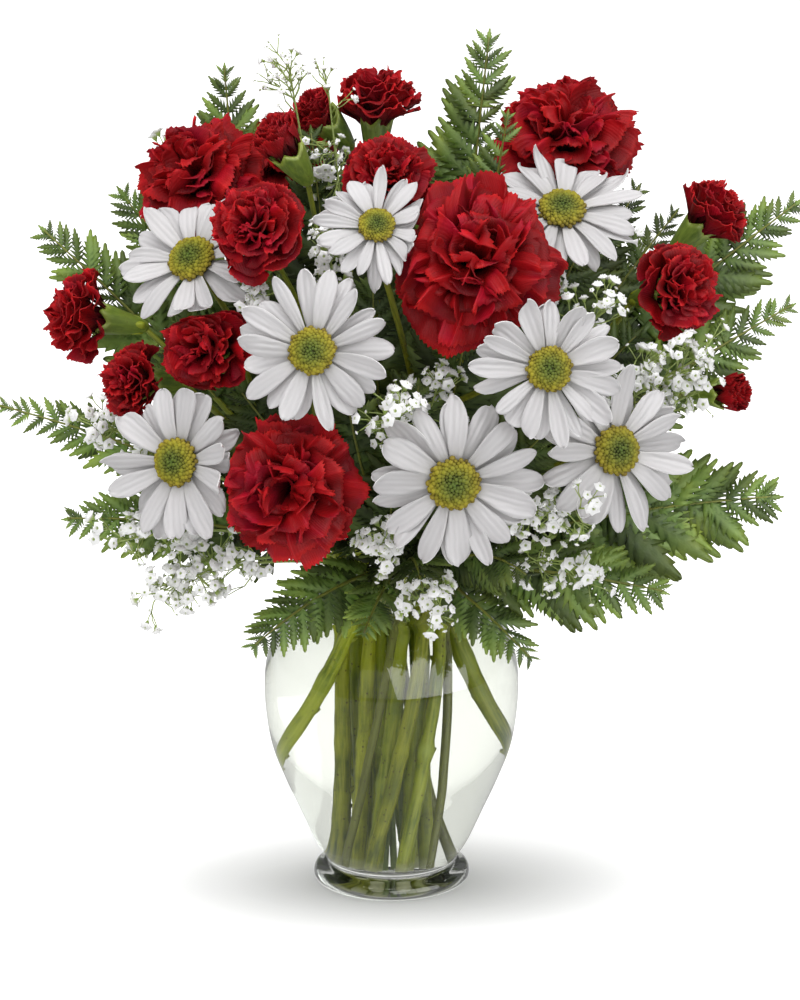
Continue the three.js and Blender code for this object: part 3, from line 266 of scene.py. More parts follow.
class Head:
    """A bloom as the flattened ball that its petals fill."""

    def __init__(self, name, kind, place, radius, facing, bud):
        self.name, self.kind, self.radius, self.bud = name, kind, radius, bud
        self.axis = direction_of(facing)
        self.place = np.array(place, float)
        ahead, half = (0.04, 0.2) if kind == "daisy" else (0.08, mix(0.56, 0.9, bud))
        self.half = half * radius
        self.middle = self.place + self.axis * ahead * radius

    def reach_of(self, points, margin):
        """Under 1 for points inside the ball, grown by a margin."""
        away = points - self.middle
        along = away @ self.axis
        across = np.sqrt(np.maximum(np.sum(away * away, axis=-1) - along * along, 0))
        return np.hypot(across / (self.radius + margin), along / (self.half + margin))

    def support(self, direction):
        along = float(self.axis @ direction)
        return math.hypot(self.half * along, self.radius * math.sqrt(max(0, 1 - along * along)))


HEADS = {}
for name, (place, radius, facing, *_) in CARNATIONS.items():
    HEADS[name] = Head(name, "carnation", place, radius, facing, 0)
for kind, rows in (("carnation", SPRAY_CARNATIONS), ("daisy", DAISIES)):
    for name, (place, radius, facing, _, bud) in rows.items():
        HEADS[name] = Head(name, kind, place, radius, facing, bud)

# within this distance of the plane between two heads, petals start to give way
PRESS = 5


def press(head, points):
    """Draws points back from the planes that a head shares with the next ones."""
    for other in HEADS.values():
        if other is head:
            continue
        across = other.middle - head.middle
        distance = np.linalg.norm(across)
        across = across / distance
        mine, theirs = head.support(across), other.support(-across)
        if mine + theirs < distance + 1:
            continue
        plane = (distance + mine - theirs) / 2 - GAP
        s = (points - head.middle) @ across - plane
        eased = -PRESS * np.exp(-(np.maximum(s, -PRESS) + PRESS) / PRESS)
        points = points + np.where(s > -PRESS, eased - s, 0)[..., None] * across
    return points


# ---------------------------------------------------------------- stem routes

# distance between the points of a route, and room that is left between stems
SPACING = 7
SLACK = 1.6
# how far a stem keeps its first and last direction, in shares of its length
HANDLE = 0.38
# free radius in the neck, and how far round the axis and how high stems mind the rim
NECK_ROOM = 26.5
MOUTH = 46
OVER_RIM = RIM_TOP + 3
# rounds of settling, and how often and how far away neighbours are looked up
ROUNDS = 160
LOOK_EVERY = 8
LOOK_WITHIN = 40


class Route:
    def __init__(self, owner, name, points, radii, held):
        self.owner, self.name = owner, name
        self.points, self.radii, self.held = np.array(points), np.array(radii), np.array(held)

    def up_to_head(self):
        """The points as far as the next held one, where the calyx starts."""
        return self.points[: 2 + int(np.argmax(self.held[1:]))]


def bezier(controls, t):
    layer = [np.outer(np.ones_like(t), c) for c in controls]
    while len(layer) > 1:
        layer = [a * (1 - t)[:, None] + b * t[:, None] for a, b in zip(layer, layer[1:])]
    return layer[0]


def even_points(controls, least):
    """Points at even distances along a curve, at least so many."""
    t = np.linspace(0, 1, 201)
    fine = bezier(controls, t)
    run = np.concatenate([[0], np.cumsum(np.linalg.norm(np.diff(fine, axis=0), axis=1))])
    count = max(least, math.floor(run[-1] / SPACING + 0.5))
    return bezier(controls, np.interp(np.linspace(0, run[-1], count + 1), run, t))


def stem_in_vase(ring, slot, rest=None):
    """Where a stem leaves the neck, where it ends in the vase, and its direction."""
    neck, foot, turn = RINGS[ring]
    start = at_angle(neck, slot, NECK_HEIGHT)
    low = at_angle(foot, slot - turn, STEM_FOOT)
    if rest:
        low = at_angle(rest[0], slot - rest[2], rest[1])
    return start, low, unit(start - low)


def route_between(owner, name, start, start_way, end, end_way, radius, tail=(), width=0):
    pull = np.linalg.norm(end - start) * HANDLE
    points = even_points([start, start + start_way * pull, end - end_way * pull, end], 4)
    held = [i in (0, len(points) - 1) for i in range(len(points))] + [True] * len(tail)
    radii = [radius] * len(points) + [width] * len(tail)
    return Route(owner, name, list(points) + list(tail), radii, held)


def route_to_head(owner, head, start, way, size_of, radius):
    """A route that ends in the head's calyx, whose points are as wide as the calyx."""
    top, length, width, _ = size_of(head.radius, head.bud)
    end = head.place - head.axis * (top + length)
    tail = [head.place - head.axis * (top + back) for back in np.arange(length, -1e-6, -5)]
    return route_between(owner, head.name, start, way, end, head.axis, radius, tail, width)


def branch_routes(kind, stems, heads, size_of, main, branch):
    """The routes of branching stems: up to the fork, and from there to each head."""
    routes = []
    for number, (ring, slot, fork) in stems.items():
        owner = f"{kind}_stem_{number}"
        start, _, lean = stem_in_vase(ring, slot)
        fork = np.array(fork, float)
        mine = [HEADS[n] for n, row in heads.items() if row[3] == number]
        onward = unit(unit(np.mean([h.place for h in mine], axis=0) - fork) + [0, 0, 1])
        routes.append(route_between(owner, owner, start, lean, fork, onward, main))
        for head in mine:
            leave = unit(unit(head.place - fork) + onward)
            routes.append(route_to_head(owner, head, fork, leave, size_of, branch))
    return routes


def bunch_routes(kind, bunches, ring, radius):
    routes = []
    for side, (slot, members) in bunches.items():
        start, _, _ = stem_in_vase(ring, slot)
        owner = f"{kind}_{side}"
        for i, (tip, via, *_) in enumerate(members):
            points = even_points([start, np.array(via, float), np.array(tip, float)], 1)
            held = [k in (0, len(points) - 1) for k in range(len(points))]
            routes.append(Route(owner, f"{owner}_{i}", points, [radius] * len(points), held))
    return routes


def settle(routes, rounds):
    """Pushes the routes apart, off the heads and out of the glass, and pulls
    them straight, as stems settle when a bouquet is put together."""
    p = np.concatenate([r.points for r in routes])
    radius = np.concatenate([r.radii for r in routes])
    held = np.concatenate([r.held for r in routes])
    owners = {r.owner: i for i, r in enumerate(routes)}
    owner = np.concatenate([[owners[r.owner]] * len(r.points) for r in routes])
    free = np.flatnonzero(~held)
    route_of = np.concatenate([[i] * len(r.points) for i, r in enumerate(routes)])
    from_end = np.concatenate([np.arange(len(r.points))[::-1] for r in routes])
    own = {r.name: i for i, r in enumerate(routes)}
    for step in range(rounds):
        if step % LOOK_EVERY == 0:
            apart = np.sum((p[:, None] - p[None]) ** 2, axis=2)
            first, second = np.nonzero(np.triu(apart < LOOK_WITHIN ** 2, 1))
            kept = (owner[first] != owner[second]) & ~(held[first] & held[second])
            first, second = first[kept], second[kept]
            near = np.hypot(radius[first] + radius[second] + SLACK, SPACING / 2)
        move = np.zeros_like(p)
        between = p[first] - p[second]
        gap = np.maximum(np.linalg.norm(between, axis=1), 1e-6)
        close = gap < near
        a, b = first[close], second[close]
        push = between[close] * ((near - gap) / gap)[close][:, None]
        np.add.at(move, a, push * np.where(held[b], 0.5, 0.25)[:, None])
        np.add.at(move, b, -push * np.where(held[a], 0.5, 0.25)[:, None])
        move[free] += ((p[free - 1] + p[free + 1]) / 2 - p[free]) * 0.3
        for head in HEADS.values():
            reach = head.reach_of(p[free], radius[free] + 0.8)
            skip = (route_of[free] == own[head.name]) & (from_end[free] < 5)
            inside = (reach < 1) & (reach > 1e-6) & ~skip
            away = p[free[inside]] - head.middle
            move[free[inside]] += away * (1 / reach[inside] - 1)[:, None] * 0.5
        pass_rim(p, radius, free, move)
        p[free] += move[free]
    at = 0
    for route in routes:
        route.points = p[at:at + len(route.points)]
        at += len(route.points)


def pass_rim(p, radius, free, move):
    """Lifts points off the glass of the rim, and draws points in off the neck."""
    from_axis = np.hypot(p[free, 0], p[free, 1])
    low = (p[free, 2] <= OVER_RIM) & (from_axis <= MOUTH)
    outside = free[low & (from_axis > NECK_ROOM + 3)]
    move[outside, 2] += (OVER_RIM - p[outside, 2]) * 0.5
    room = NECK_ROOM + np.maximum(0, p[free, 2] - NECK_HEIGHT - 2) * 0.5 - radius[free]
    wide = low & (from_axis <= NECK_ROOM + 3) & (from_axis > room)
    back = ((from_axis - room) / np.maximum(from_axis, 1e-6) * 0.5)[wide]
    move[free[wide], :2] -= p[free[wide], :2] * back[:, None]


ROUTES = []
for name, (_, _, _, ring, slot, rest) in CARNATIONS.items():
    start, _, lean = stem_in_vase(ring, slot, rest)
    ROUTES.append(route_to_head(name, HEADS[name], start, lean, calyx_of, STEM_RADIUS["carnation"]))
ROUTES += branch_routes("spray_carnation", SPRAY_STEMS, SPRAY_CARNATIONS, calyx_of,
                        STEM_RADIUS["spray_main"], STEM_RADIUS["spray_branch"])
ROUTES += branch_routes("daisy", DAISY_STEMS, DAISIES, daisy_cup_of,
                        STEM_RADIUS["daisy_main"], STEM_RADIUS["daisy_branch"])
ROUTES += bunch_routes("fern", FERNS, "outer", FROND_RIB)
ROUTES += bunch_routes("babys_breath", BABYS_BREATH, "inner", SPRAY_STALK)
settle(ROUTES, ROUNDS)
ROUTE = {r.name: r for r in ROUTES}

# ---------------------------------------------------------------- mesh tools


def new_object(name, data):
    made = bpy.data.objects.new(name, data)
    bpy.context.scene.collection.objects.link(made)
    return made


class Shape:
    """A mesh being gathered: points in millimetres, faces, and for each point a
    tone (four numbers for the material) and a lay (millimetres along the piece)."""

    def __init__(self):
        self.points, self.faces, self.tones, self.lays, self.materials = [], [], [], [], []
        self.count = 0

    def add(self, points, faces, tone=(0, 0, 0, 1), lay=(0, 0, 0), material=0):
        points = np.asarray(points, float).reshape(-1, 3)
        faces = np.asarray(faces).reshape(-1, 4)
        n = len(points)
        self.points.append(points)
        self.faces.append(np.where(faces < 0, -1, faces + self.count))
        self.tones.append(np.broadcast_to(np.asarray(tone, float), (n, 4)))
        self.lays.append(np.broadcast_to(np.asarray(lay, float), (n, 3)))
        self.materials.append(np.full(len(faces), material))
        self.count += n

    def make(self, name, materials):
        points = np.concatenate(self.points) * MM
        faces = np.concatenate(self.faces)
        mesh = bpy.data.meshes.new(name)
        corners = faces[faces >= 0]
        sizes = np.sum(faces >= 0, axis=1)
        mesh.vertices.add(len(points))
        mesh.vertices.foreach_set("co", points.ravel())
        mesh.loops.add(len(corners))
        mesh.loops.foreach_set("vertex_index", corners.astype(np.int32))
        mesh.polygons.add(len(faces))
        starts = np.concatenate([[0], np.cumsum(sizes)[:-1]])
        mesh.polygons.foreach_set("loop_start", starts.astype(np.int32))
        slots = np.concatenate(self.materials)
        mesh.polygons.foreach_set("material_index", slots.astype(np.int32))
        mesh.update(calc_edges=True)
        tone = mesh.attributes.new("tone", "FLOAT_COLOR", "POINT")
        tone.data.foreach_set("color", np.concatenate(self.tones).ravel())
        lay = mesh.attributes.new("lay", "FLOAT_VECTOR", "POINT")
        lay.data.foreach_set("vector", np.concatenate(self.lays).ravel())
        mesh.shade_smooth()
        for material in materials:
            mesh.materials.append(material)
        return new_object(name, mesh)


def sheets(shape, grid, thick, tone, lay, under_tone=None):
    """Thin closed sheets from an array (sheet, row, column, 3) of points."""
    n, rows, cols, _ = grid.shape
    normal = unit(np.cross(np.gradient(grid, axis=2), np.gradient(grid, axis=1)))
    half = np.broadcast_to(np.asarray(thick) / 2, grid.shape[:3])[..., None]
    points = np.stack([grid + normal * half, grid - normal * half], axis=1)
    at = np.arange(rows * cols).reshape(rows, cols)
    top = np.stack([at[:-1, :-1], at[:-1, 1:], at[1:, 1:], at[1:, :-1]], axis=-1).reshape(-1, 4)
    under = top[:, ::-1] + rows * cols
    ring = np.concatenate([at[0, :-1], at[:-1, -1], at[-1, :0:-1], at[:0:-1, 0]])
    after = np.roll(ring, -1)
    edge = np.stack([after, ring, ring + rows * cols, after + rows * cols], axis=-1)
    one = np.concatenate([top, under, edge])
    faces = (one[None] + (np.arange(n) * rows * cols * 2)[:, None, None]).reshape(-1, 4)
    tones = np.stack([tone, tone if under_tone is None else under_tone], axis=1).reshape(-1, 4)
    lays = np.stack([lay, lay], axis=1).reshape(-1, 3)
    shape.add(points.reshape(-1, 3), faces, tones, lays)


def rings_closed(shape, rings, tone, lay, material=0):
    """A closed skin over rings (ring, side, 3), ended by a fan at each end."""
    count, sides, _ = rings.shape
    at = np.arange(count * sides).reshape(count, sides)
    after = np.roll(at, -1, axis=1)
    faces = np.stack([at[:-1], after[:-1], after[1:], at[1:]], axis=-1).reshape(-1, 4)
    points = np.concatenate([rings.reshape(-1, 3), rings[:1].mean(axis=1), rings[-1:].mean(axis=1)])
    first, last = count * sides, count * sides + 1
    none = np.full(sides, -1)
    low = np.stack([after[0], at[0], np.full(sides, first), none], axis=-1)
    high = np.stack([at[-1], after[-1], np.full(sides, last), none], axis=-1)
    tone = np.broadcast_to(np.asarray(tone, float), (count, sides, 4)).reshape(-1, 4)
    lay = np.broadcast_to(np.asarray(lay, float), (count, sides, 3)).reshape(-1, 3)
    tone = np.concatenate([tone, tone[:1], tone[-1:]])
    lay = np.concatenate([lay, lay[:1], lay[-1:]])
    shape.add(points, np.concatenate([faces, low, high]), tone, lay, material)


def flowing(points, step):
    """A smooth path through points, with a point every few millimetres."""
    p = np.concatenate([[2 * points[0] - points[1]], points, [2 * points[-1] - points[-2]]])
    pieces = []
    for a, b, c, d in zip(p, p[1:], p[2:], p[3:]):
        t = np.arange(0, 1, 1 / max(1, round(np.linalg.norm(c - b) / step)))[:, None]
        pieces.append(0.5 * (2 * b + (c - a) * t + (2 * a - 5 * b + 4 * c - d) * t ** 2
                             + (3 * b - a - 3 * c + d) * t ** 3))
    return np.concatenate(pieces + [points[-1:]])


def lengths_along(path):
    return np.concatenate([[0], np.cumsum(np.linalg.norm(np.diff(path, axis=0), axis=1))])


def tube_rings(path, radii, sides):
    """Rings round a path, each turned as little as it can be from the last."""
    along = unit(np.gradient(path, axis=0))
    normal = unit(np.cross(along[0], [0.3, 0.9, 0.2]))
    turn = np.arange(sides) * 2 * math.pi / sides
    rings = []
    for p, way, radius in zip(path, along, radii):
        normal = unit(normal - way * (normal @ way))
        side = np.cross(way, normal)
        rings.append(p + radius * (np.outer(np.cos(turn), normal) + np.outer(np.sin(turn), side)))
    return np.array(rings)


def tube(shape, path, radii, sides, tone):
    radii = np.broadcast_to(radii, len(path))
    turn = np.arange(sides) * 2 * math.pi / sides
    lay = np.stack(np.broadcast_arrays(
        path[0, 0] + radii[:, None] * np.cos(turn), lengths_along(path)[:, None],
        path[0, 1] + radii[:, None] * np.sin(turn)), axis=-1)
    tones = np.broadcast_to(np.asarray(tone, float).reshape(-1, 1, 4), (len(path), sides, 4))
    rings_closed(shape, tube_rings(path, radii, sides), tones, lay)


def lathe(shape, profile, sides):
    """A closed turned shape from (radius, height) points, from axis to axis."""
    turn = np.arange(sides) * 2 * math.pi / sides
    profile = np.array(profile, float)
    inner = profile[1:-1]
    rings = np.stack([np.outer(inner[:, 0], np.cos(turn)), np.outer(inner[:, 0], np.sin(turn)),
                      np.outer(inner[:, 1], np.ones(sides))], axis=-1)
    rings_closed(shape, rings, (0, 0, 0, 1), (0, 0, 0))


# ---------------------------------------------------------------- node tools


def linear(hex_colour):
    """An sRGB colour such as "b0121a" as the linear colour that a socket takes."""
    parts = [int(hex_colour[i:i + 2], 16) / 255 for i in (0, 2, 4)]
    parts = [c / 12.92 if c <= 0.04045 else ((c + 0.055) / 1.055) ** 2.4 for c in parts]
    return (*parts, 1)


def add_node(tree, kind, inputs=None, stops=(), **settings):
    """Adds one node. An input is a value, or the socket or node that feeds it, or a
    list of these. Stops are the places and colours of a ramp."""
    made = tree.nodes.new(kind)
    for key, value in settings.items():
        setattr(made, key, value)
    for key, given in (inputs or {}).items():
        for value in given if isinstance(given, list) else [given]:
            if isinstance(value, bpy.types.Node):
                value = value.outputs[0]
            if isinstance(value, bpy.types.NodeSocket):
                tree.links.new(value, made.inputs[key])
            else:
                made.inputs[key].default_value = value
    if stops:
        elements = made.color_ramp.elements
        while len(elements) < len(stops):
            elements.new(0.5)
        for element, (at, colour) in zip(elements, stops):
            element.position, element.color = at, linear(colour)
    return made


def new_material(name):
    material = bpy.data.materials.new(name)
    material.use_nodes = True
    material.node_tree.nodes.clear()
    return material, material.node_tree


def tone_parts(tree):
    """The three numbers that the points of a mesh carry for its material."""
    tone = add_node(tree, "ShaderNodeAttribute", attribute_name="tone")
    return add_node(tree, "ShaderNodeSeparateColor", {"Color": tone}).outputs[:3]


def tinted(tree, colour, tint, value, start=0, end=1, most=1):
    """Mixes in a tint where a value goes from start to end, up to a share of most."""
    share = add_node(tree, "ShaderNodeMapRange", {
        "Value": value, "From Min": start, "From Max": end, "To Max": most})
    both = {0: share, 6: colour, 7: linear(tint)}
    return add_node(tree, "ShaderNodeMix", both, data_type="RGBA").outputs[2]


def dimmed(tree, colour, value, low, high, start=0, end=1):
    """Scales a colour from low to high as a value goes from start to end."""
    share = add_node(tree, "ShaderNodeMapRange", {
        "Value": value, "From Min": start, "From Max": end, "To Min": low, "To Max": high})
    return add_node(tree, "ShaderNodeVectorMath", {0: colour, "Scale": share}, operation="SCALE")


def petal_velvet(name, deep, body, rim, glow):
    """Carnation petal: thin living tissue with a velvety skin of tiny cells. It
    is painted darkest in the heart, as painted shade, and brightest on the ruffled
    rim, as painted light where the tissue is thin; the ridges of its folds are
    painted lighter and their hollows darker, as painted light and shade. Its folds
    show a cooler crimson in patches of about 17 mm, where the light passes through.
    Veins run out to the rim, a millimetre apart."""
    material, tree = new_material(name)
    along, own, fold_light_and_shade = tone_parts(tree)
    # painted shade in the heart (deep) and painted light on the thin rim (rim)
    colour = add_node(tree, "ShaderNodeValToRGB", {"Fac": along}, [
        (0.0, deep), (0.35, deep), (0.72, body), (0.92, body), (1.0, rim)])
    place = add_node(tree, "ShaderNodeTexCoord").outputs["Object"]
    folds = add_node(tree, "ShaderNodeTexNoise", {"Vector": place, "Scale": 60, "Detail": 3})
    colour = tinted(tree, colour, glow, folds, 0.5, 0.7, 0.55)
    # painted light on the ridges of the folds and painted shade in their hollows; own is each
    # petal's random tone
    colour = dimmed(tree, dimmed(tree, colour, fold_light_and_shade, 0.6, 1.15), own, 0.82, 1.1)
    lay = add_node(tree, "ShaderNodeAttribute", attribute_name="lay").outputs["Vector"]
    veins = add_node(tree, "ShaderNodeTexWave", {
        "Vector": lay, "Scale": 0.35, "Distortion": 1.5, "Detail": 2}, bands_direction="X")
    bump = add_node(tree, "ShaderNodeBump", {
        "Height": veins.outputs["Fac"], "Strength": 0.25, "Distance": 0.0004})
    skin = add_node(tree, "ShaderNodeBsdfPrincipled", {
        "Base Color": colour, "Roughness": 0.58, "Normal": bump, "IOR": 1.4,
        "Specular IOR Level": 0.2, "Sheen Weight": 0.1, "Sheen Roughness": 0.4,
        "Sheen Tint": linear("ff4a40")})
    add_node(tree, "ShaderNodeOutputMaterial", {"Surface": skin})
    return material


def ray_skin(name):
    """Daisy ray: smooth white tissue, slightly waxy. Two shallow grooves run its
    length, painted grey-lavender as painted shade, and its middle and the part
    next to its green root are painted greyer too, as painted shade, while its
    edges stay white. Faint veins run along it about 2.4 mm apart."""
    material, tree = new_material(name)
    along, own, groove = tone_parts(tree)
    # the grey stop next to the green root is painted shade from the disc
    colour = add_node(tree, "ShaderNodeValToRGB", {"Fac": along}, [
        (0.0, "a8b070"), (0.13, "cfd1c4"), (0.36, "e9e8e6"), (0.66, "faf9f8")])
    # painted grey-lavender shade in the grooves, in the middle and near the root
    colour = tinted(tree, colour, "c4c1c3", groove, most=0.75)
    colour = dimmed(tree, colour, own, 0.8, 1.04)
    lay = add_node(tree, "ShaderNodeAttribute", attribute_name="lay").outputs["Vector"]
    veins = add_node(tree, "ShaderNodeTexWave", {
        "Vector": lay, "Scale": 0.13, "Distortion": 2.0, "Detail": 1}, bands_direction="X")
    colour = add_node(tree, "ShaderNodeMix", {0: 0.07, 6: colour, 7: veins}, data_type="RGBA",
                      blend_type="MULTIPLY").outputs[2]
    bump = add_node(tree, "ShaderNodeBump", {
        "Height": veins.outputs["Fac"], "Strength": 0.3, "Distance": 0.0005})
    skin = add_node(tree, "ShaderNodeBsdfPrincipled", {
        "Base Color": colour, "Roughness": 0.5, "Normal": bump, "Specular IOR Level": 0.35,
        "Sheen Weight": 0.1})
    add_node(tree, "ShaderNodeOutputMaterial", {"Surface": skin})
    return material


def disc_pollen(name):
    """Disc florets: closed waxy green buds in the middle, open powdery yellow
    florets round them, and brown-tipped anthers at the edge. Each is painted
    darker towards its foot, as painted shade between its neighbours, and the
    dome under them is painted darkest."""
    material, tree = new_material(name)
    along, own, _ = tone_parts(tree)
    colour = add_node(tree, "ShaderNodeValToRGB", {"Fac": along}, [
        (0.0, "46581c"), (0.4, "5c641e"), (0.7, "7e7a1c"), (0.9, "8c801f"), (1.0, "6e5e20")])
    lay = add_node(tree, "ShaderNodeAttribute", attribute_name="lay").outputs["Vector"]
    # the lay of a bud runs from 0 at its foot to 1500 at its tip
    run = add_node(tree, "ShaderNodeSeparateXYZ", {"Vector": lay}).outputs["Y"]
    # painted shade: each floret darker towards its foot; own is its random tone
    colour = dimmed(tree, dimmed(tree, colour, own, 0.75, 1.2), run, 0.4, 1.15, 700, 1500)
    skin = add_node(tree, "ShaderNodeBsdfPrincipled", {
        "Base Color": colour, "Roughness": 0.75, "Specular IOR Level": 0.25})
    add_node(tree, "ShaderNodeOutputMaterial", {"Surface": skin})
    return material


def stem_skin(name, light, dark, speck, bloom):
    """Cut stem: waxy green skin in patches of about 22 mm, with streaks that run
    along it, brown bark where it is worn, and dark lenticels a little under a
    millimetre across. It is paler at the joints and where it is cut."""
    material, tree = new_material(name)
    pale, own, cut = tone_parts(tree)
    place = add_node(tree, "ShaderNodeTexCoord").outputs["Object"]
    patch = add_node(tree, "ShaderNodeTexNoise", {
        "Vector": place, "Scale": 45, "Detail": 4, "Roughness": 0.6})
    colour = add_node(tree, "ShaderNodeValToRGB", {"Fac": patch}, [(0.3, dark), (0.7, light)])
    lay = add_node(tree, "ShaderNodeAttribute", attribute_name="lay").outputs["Vector"]
    drawn_out = add_node(tree, "ShaderNodeMapping", {"Vector": lay, "Scale": (0.9, 0.06, 0.9)})
    streak = add_node(tree, "ShaderNodeTexNoise", {"Vector": drawn_out, "Scale": 1, "Detail": 2})
    worn = add_node(tree, "ShaderNodeTexNoise", {
        "Vector": place, "Scale": 26, "Detail": 6, "Roughness": 0.75})
    dots = add_node(tree, "ShaderNodeTexVoronoi", {"Vector": place, "Scale": 330, "Randomness": 1})
    for tint, value, start, end, most in (
            (bloom, streak, 0.4, 0.65, 0.75), (speck, worn, 0.56, 0.68, 0.7),
            (speck, dots, 0.16, 0.1, 0.8), ("aebc4a", pale, 0, 1, 1), ("c9cba0", cut, 0, 1, 1)):
        colour = tinted(tree, colour, tint, value, start, end, most)
    # own scales the colour: each stem's random tone, and on the stems also the painted shade of the
    # heart of the bouquet
    colour = dimmed(tree, colour, own, 0.5, 1.15)
    bump = add_node(tree, "ShaderNodeBump", {"Height": streak, "Strength": 0.3, "Distance": 0.0003})
    skin = add_node(tree, "ShaderNodeBsdfPrincipled", {
        "Base Color": colour, "Roughness": 0.42, "Normal": bump, "Specular IOR Level": 0.45})
    add_node(tree, "ShaderNodeOutputMaterial", {"Surface": skin})
    return material


def fern_blade(name):
    """Leatherleaf: a thin leathery blade, deep green and a little glossy, with
    paler ribs, yellow-green young tips and a surface netted about every
    millimetre. Each leaflet has its own random tone, and the leaflets of the
    tufts and of the fronds that fill the heart are painted darker, as painted shade."""
    material, tree = new_material(name)
    tip, _, rib = tone_parts(tree)
    place = add_node(tree, "ShaderNodeTexCoord").outputs["Object"]
    patch = add_node(tree, "ShaderNodeTexNoise", {"Vector": place, "Scale": 70, "Detail": 3})
    colour = add_node(tree, "ShaderNodeValToRGB", {"Fac": patch}, [
        (0.3, "1e380e"), (0.53, "45661b"), (0.72, "86983c")])
    colour = tinted(tree, colour, "8fa03c", tip)
    colour = tinted(tree, colour, "86a055", rib)
    shade = add_node(tree, "ShaderNodeAttribute", attribute_name="shade").outputs["Fac"]
    # painted shade on the leaflets of the tufts and filling fronds, with each leaflet's random tone
    colour = dimmed(tree, colour, shade, 0.08, 1.35)
    net = add_node(tree, "ShaderNodeTexVoronoi", {"Vector": place, "Scale": 900})
    bump = add_node(tree, "ShaderNodeBump", {"Height": net, "Strength": 0.25, "Distance": 0.0003})
    skin = add_node(tree, "ShaderNodeBsdfPrincipled", {
        "Base Color": colour, "Roughness": 0.5, "Normal": bump, "Specular IOR Level": 0.3})
    add_node(tree, "ShaderNodeOutputMaterial", {"Surface": skin})
    return material


def papery_white(name):
    """Baby's breath floret: dry papery white petals with a green eye."""
    material, tree = new_material(name)
    colour = add_node(tree, "ShaderNodeValToRGB", {"Fac": tone_parts(tree)[0]}, [
        (0.0, "8fa552"), (0.3, "b9c296"), (0.6, "e9e9e4"), (1.0, "fbfbfb")])
    skin = add_node(tree, "ShaderNodeBsdfPrincipled", {
        "Base Color": colour, "Roughness": 0.7, "Specular IOR Level": 0.25})
    add_node(tree, "ShaderNodeOutputMaterial", {"Surface": skin})
    return material


def clear(name, ior, tint, shine):
    """A clear solid that bends light, and lets the light through to cast only a
    soft shadow, because its bright focused patches take too long to settle. Rays
    that have been turned too often go straight on."""
    material, tree = new_material(name)
    body = add_node(tree, "ShaderNodeBsdfPrincipled", {
        "Base Color": linear(tint), "Roughness": 0.0, "IOR": ior, "Transmission Weight": 1.0,
        "Specular Tint": linear(shine)})
    through = add_node(tree, "ShaderNodeBsdfTransparent", {"Color": linear("f5f6f5")})
    ray = add_node(tree, "ShaderNodeLightPath").outputs
    late = add_node(tree, "ShaderNodeMath", {0: ray["Ray Depth"], 1: MOST_TURNS + 0.5},
                    operation="GREATER_THAN")
    straight = ray["Is Shadow Ray"]
    for other in (ray["Is Diffuse Ray"], late):
        straight = add_node(tree, "ShaderNodeMath", {0: straight, 1: other}, operation="MAXIMUM")
    either = add_node(tree, "ShaderNodeMixShader", {0: straight, 1: body, 2: through})
    add_node(tree, "ShaderNodeOutputMaterial", {"Surface": either})
    return material


MOST_TURNS = 6
# a petal's first colour is its painted shade in the heart, its third its painted light on the rim
PETAL = petal_velvet("carnation_petal_velvet", "380105", "9c0710", "c61d1d", "a00930")
MINI_PETAL = petal_velvet("spray_carnation_petal_velvet", "380106", "9c0711", "c41a1c", "9c092c")
RAY = ray_skin("daisy_ray_waxy_white")
DISC = disc_pollen("daisy_disc_florets")
CARNATION_STEM = stem_skin("carnation_stem_waxy_green", "b2be18", "526a10", "56401a", "bcc236")
CALYX = stem_skin("carnation_calyx_leaf_green", "748a2c", "3a581c", "5e5c20", "7c9236")
CARNATION_GREENS = [CARNATION_STEM, CALYX]
DAISY_STEM = stem_skin("daisy_stem_ribbed_green", "aab018", "4e6010", "503618", "b8ba32")
FERN = fern_blade("leatherleaf_fern_blade")
FERN_STALK = stem_skin("fern_stalk_straw_green", "8c9232", "646826", "4a4020", "8e9440")
FLORET = papery_white("babys_breath_papery_white")
FINE_STALK = stem_skin("babys_breath_stalk_green", "a9b86a", "7f9a48", "6b7a3a", "9fb071")
# Glass against water, and water against glass, hardly mirror anything.
GLASS = clear("soda_lime_glass_clear", 1.5, "ebece8", "ffffff")
WET_GLASS = clear("soda_lime_glass_wetted", 1.5, "ebece8", "202020")
WATER = clear("tap_water_clear", 1.33, "fdfefd", "202020")

# ---------------------------------------------------------------- carnations

# margin of a petal, from the innermost petal (0) to the outermost (1), in
# shares of the head's radius
DOME_AT = [0, 0.12, 0.35, 0.65, 0.85, 1]
DOME_REACH = [0.12, 0.3, 0.58, 0.84, 0.95, 1.0]
DOME_RISE = [0.56, 0.56, 0.5, 0.3, 0.08, -0.16]
# folds across a petal, their depth in shares of the head's radius, and how late
# on the way to the rim they grow
RUFFLES = ((1.5, 0.12, 1.3), (3.3, 0.055, 2.2), (7.5, 0.012, 4))
PETAL_SHEET = 0.35


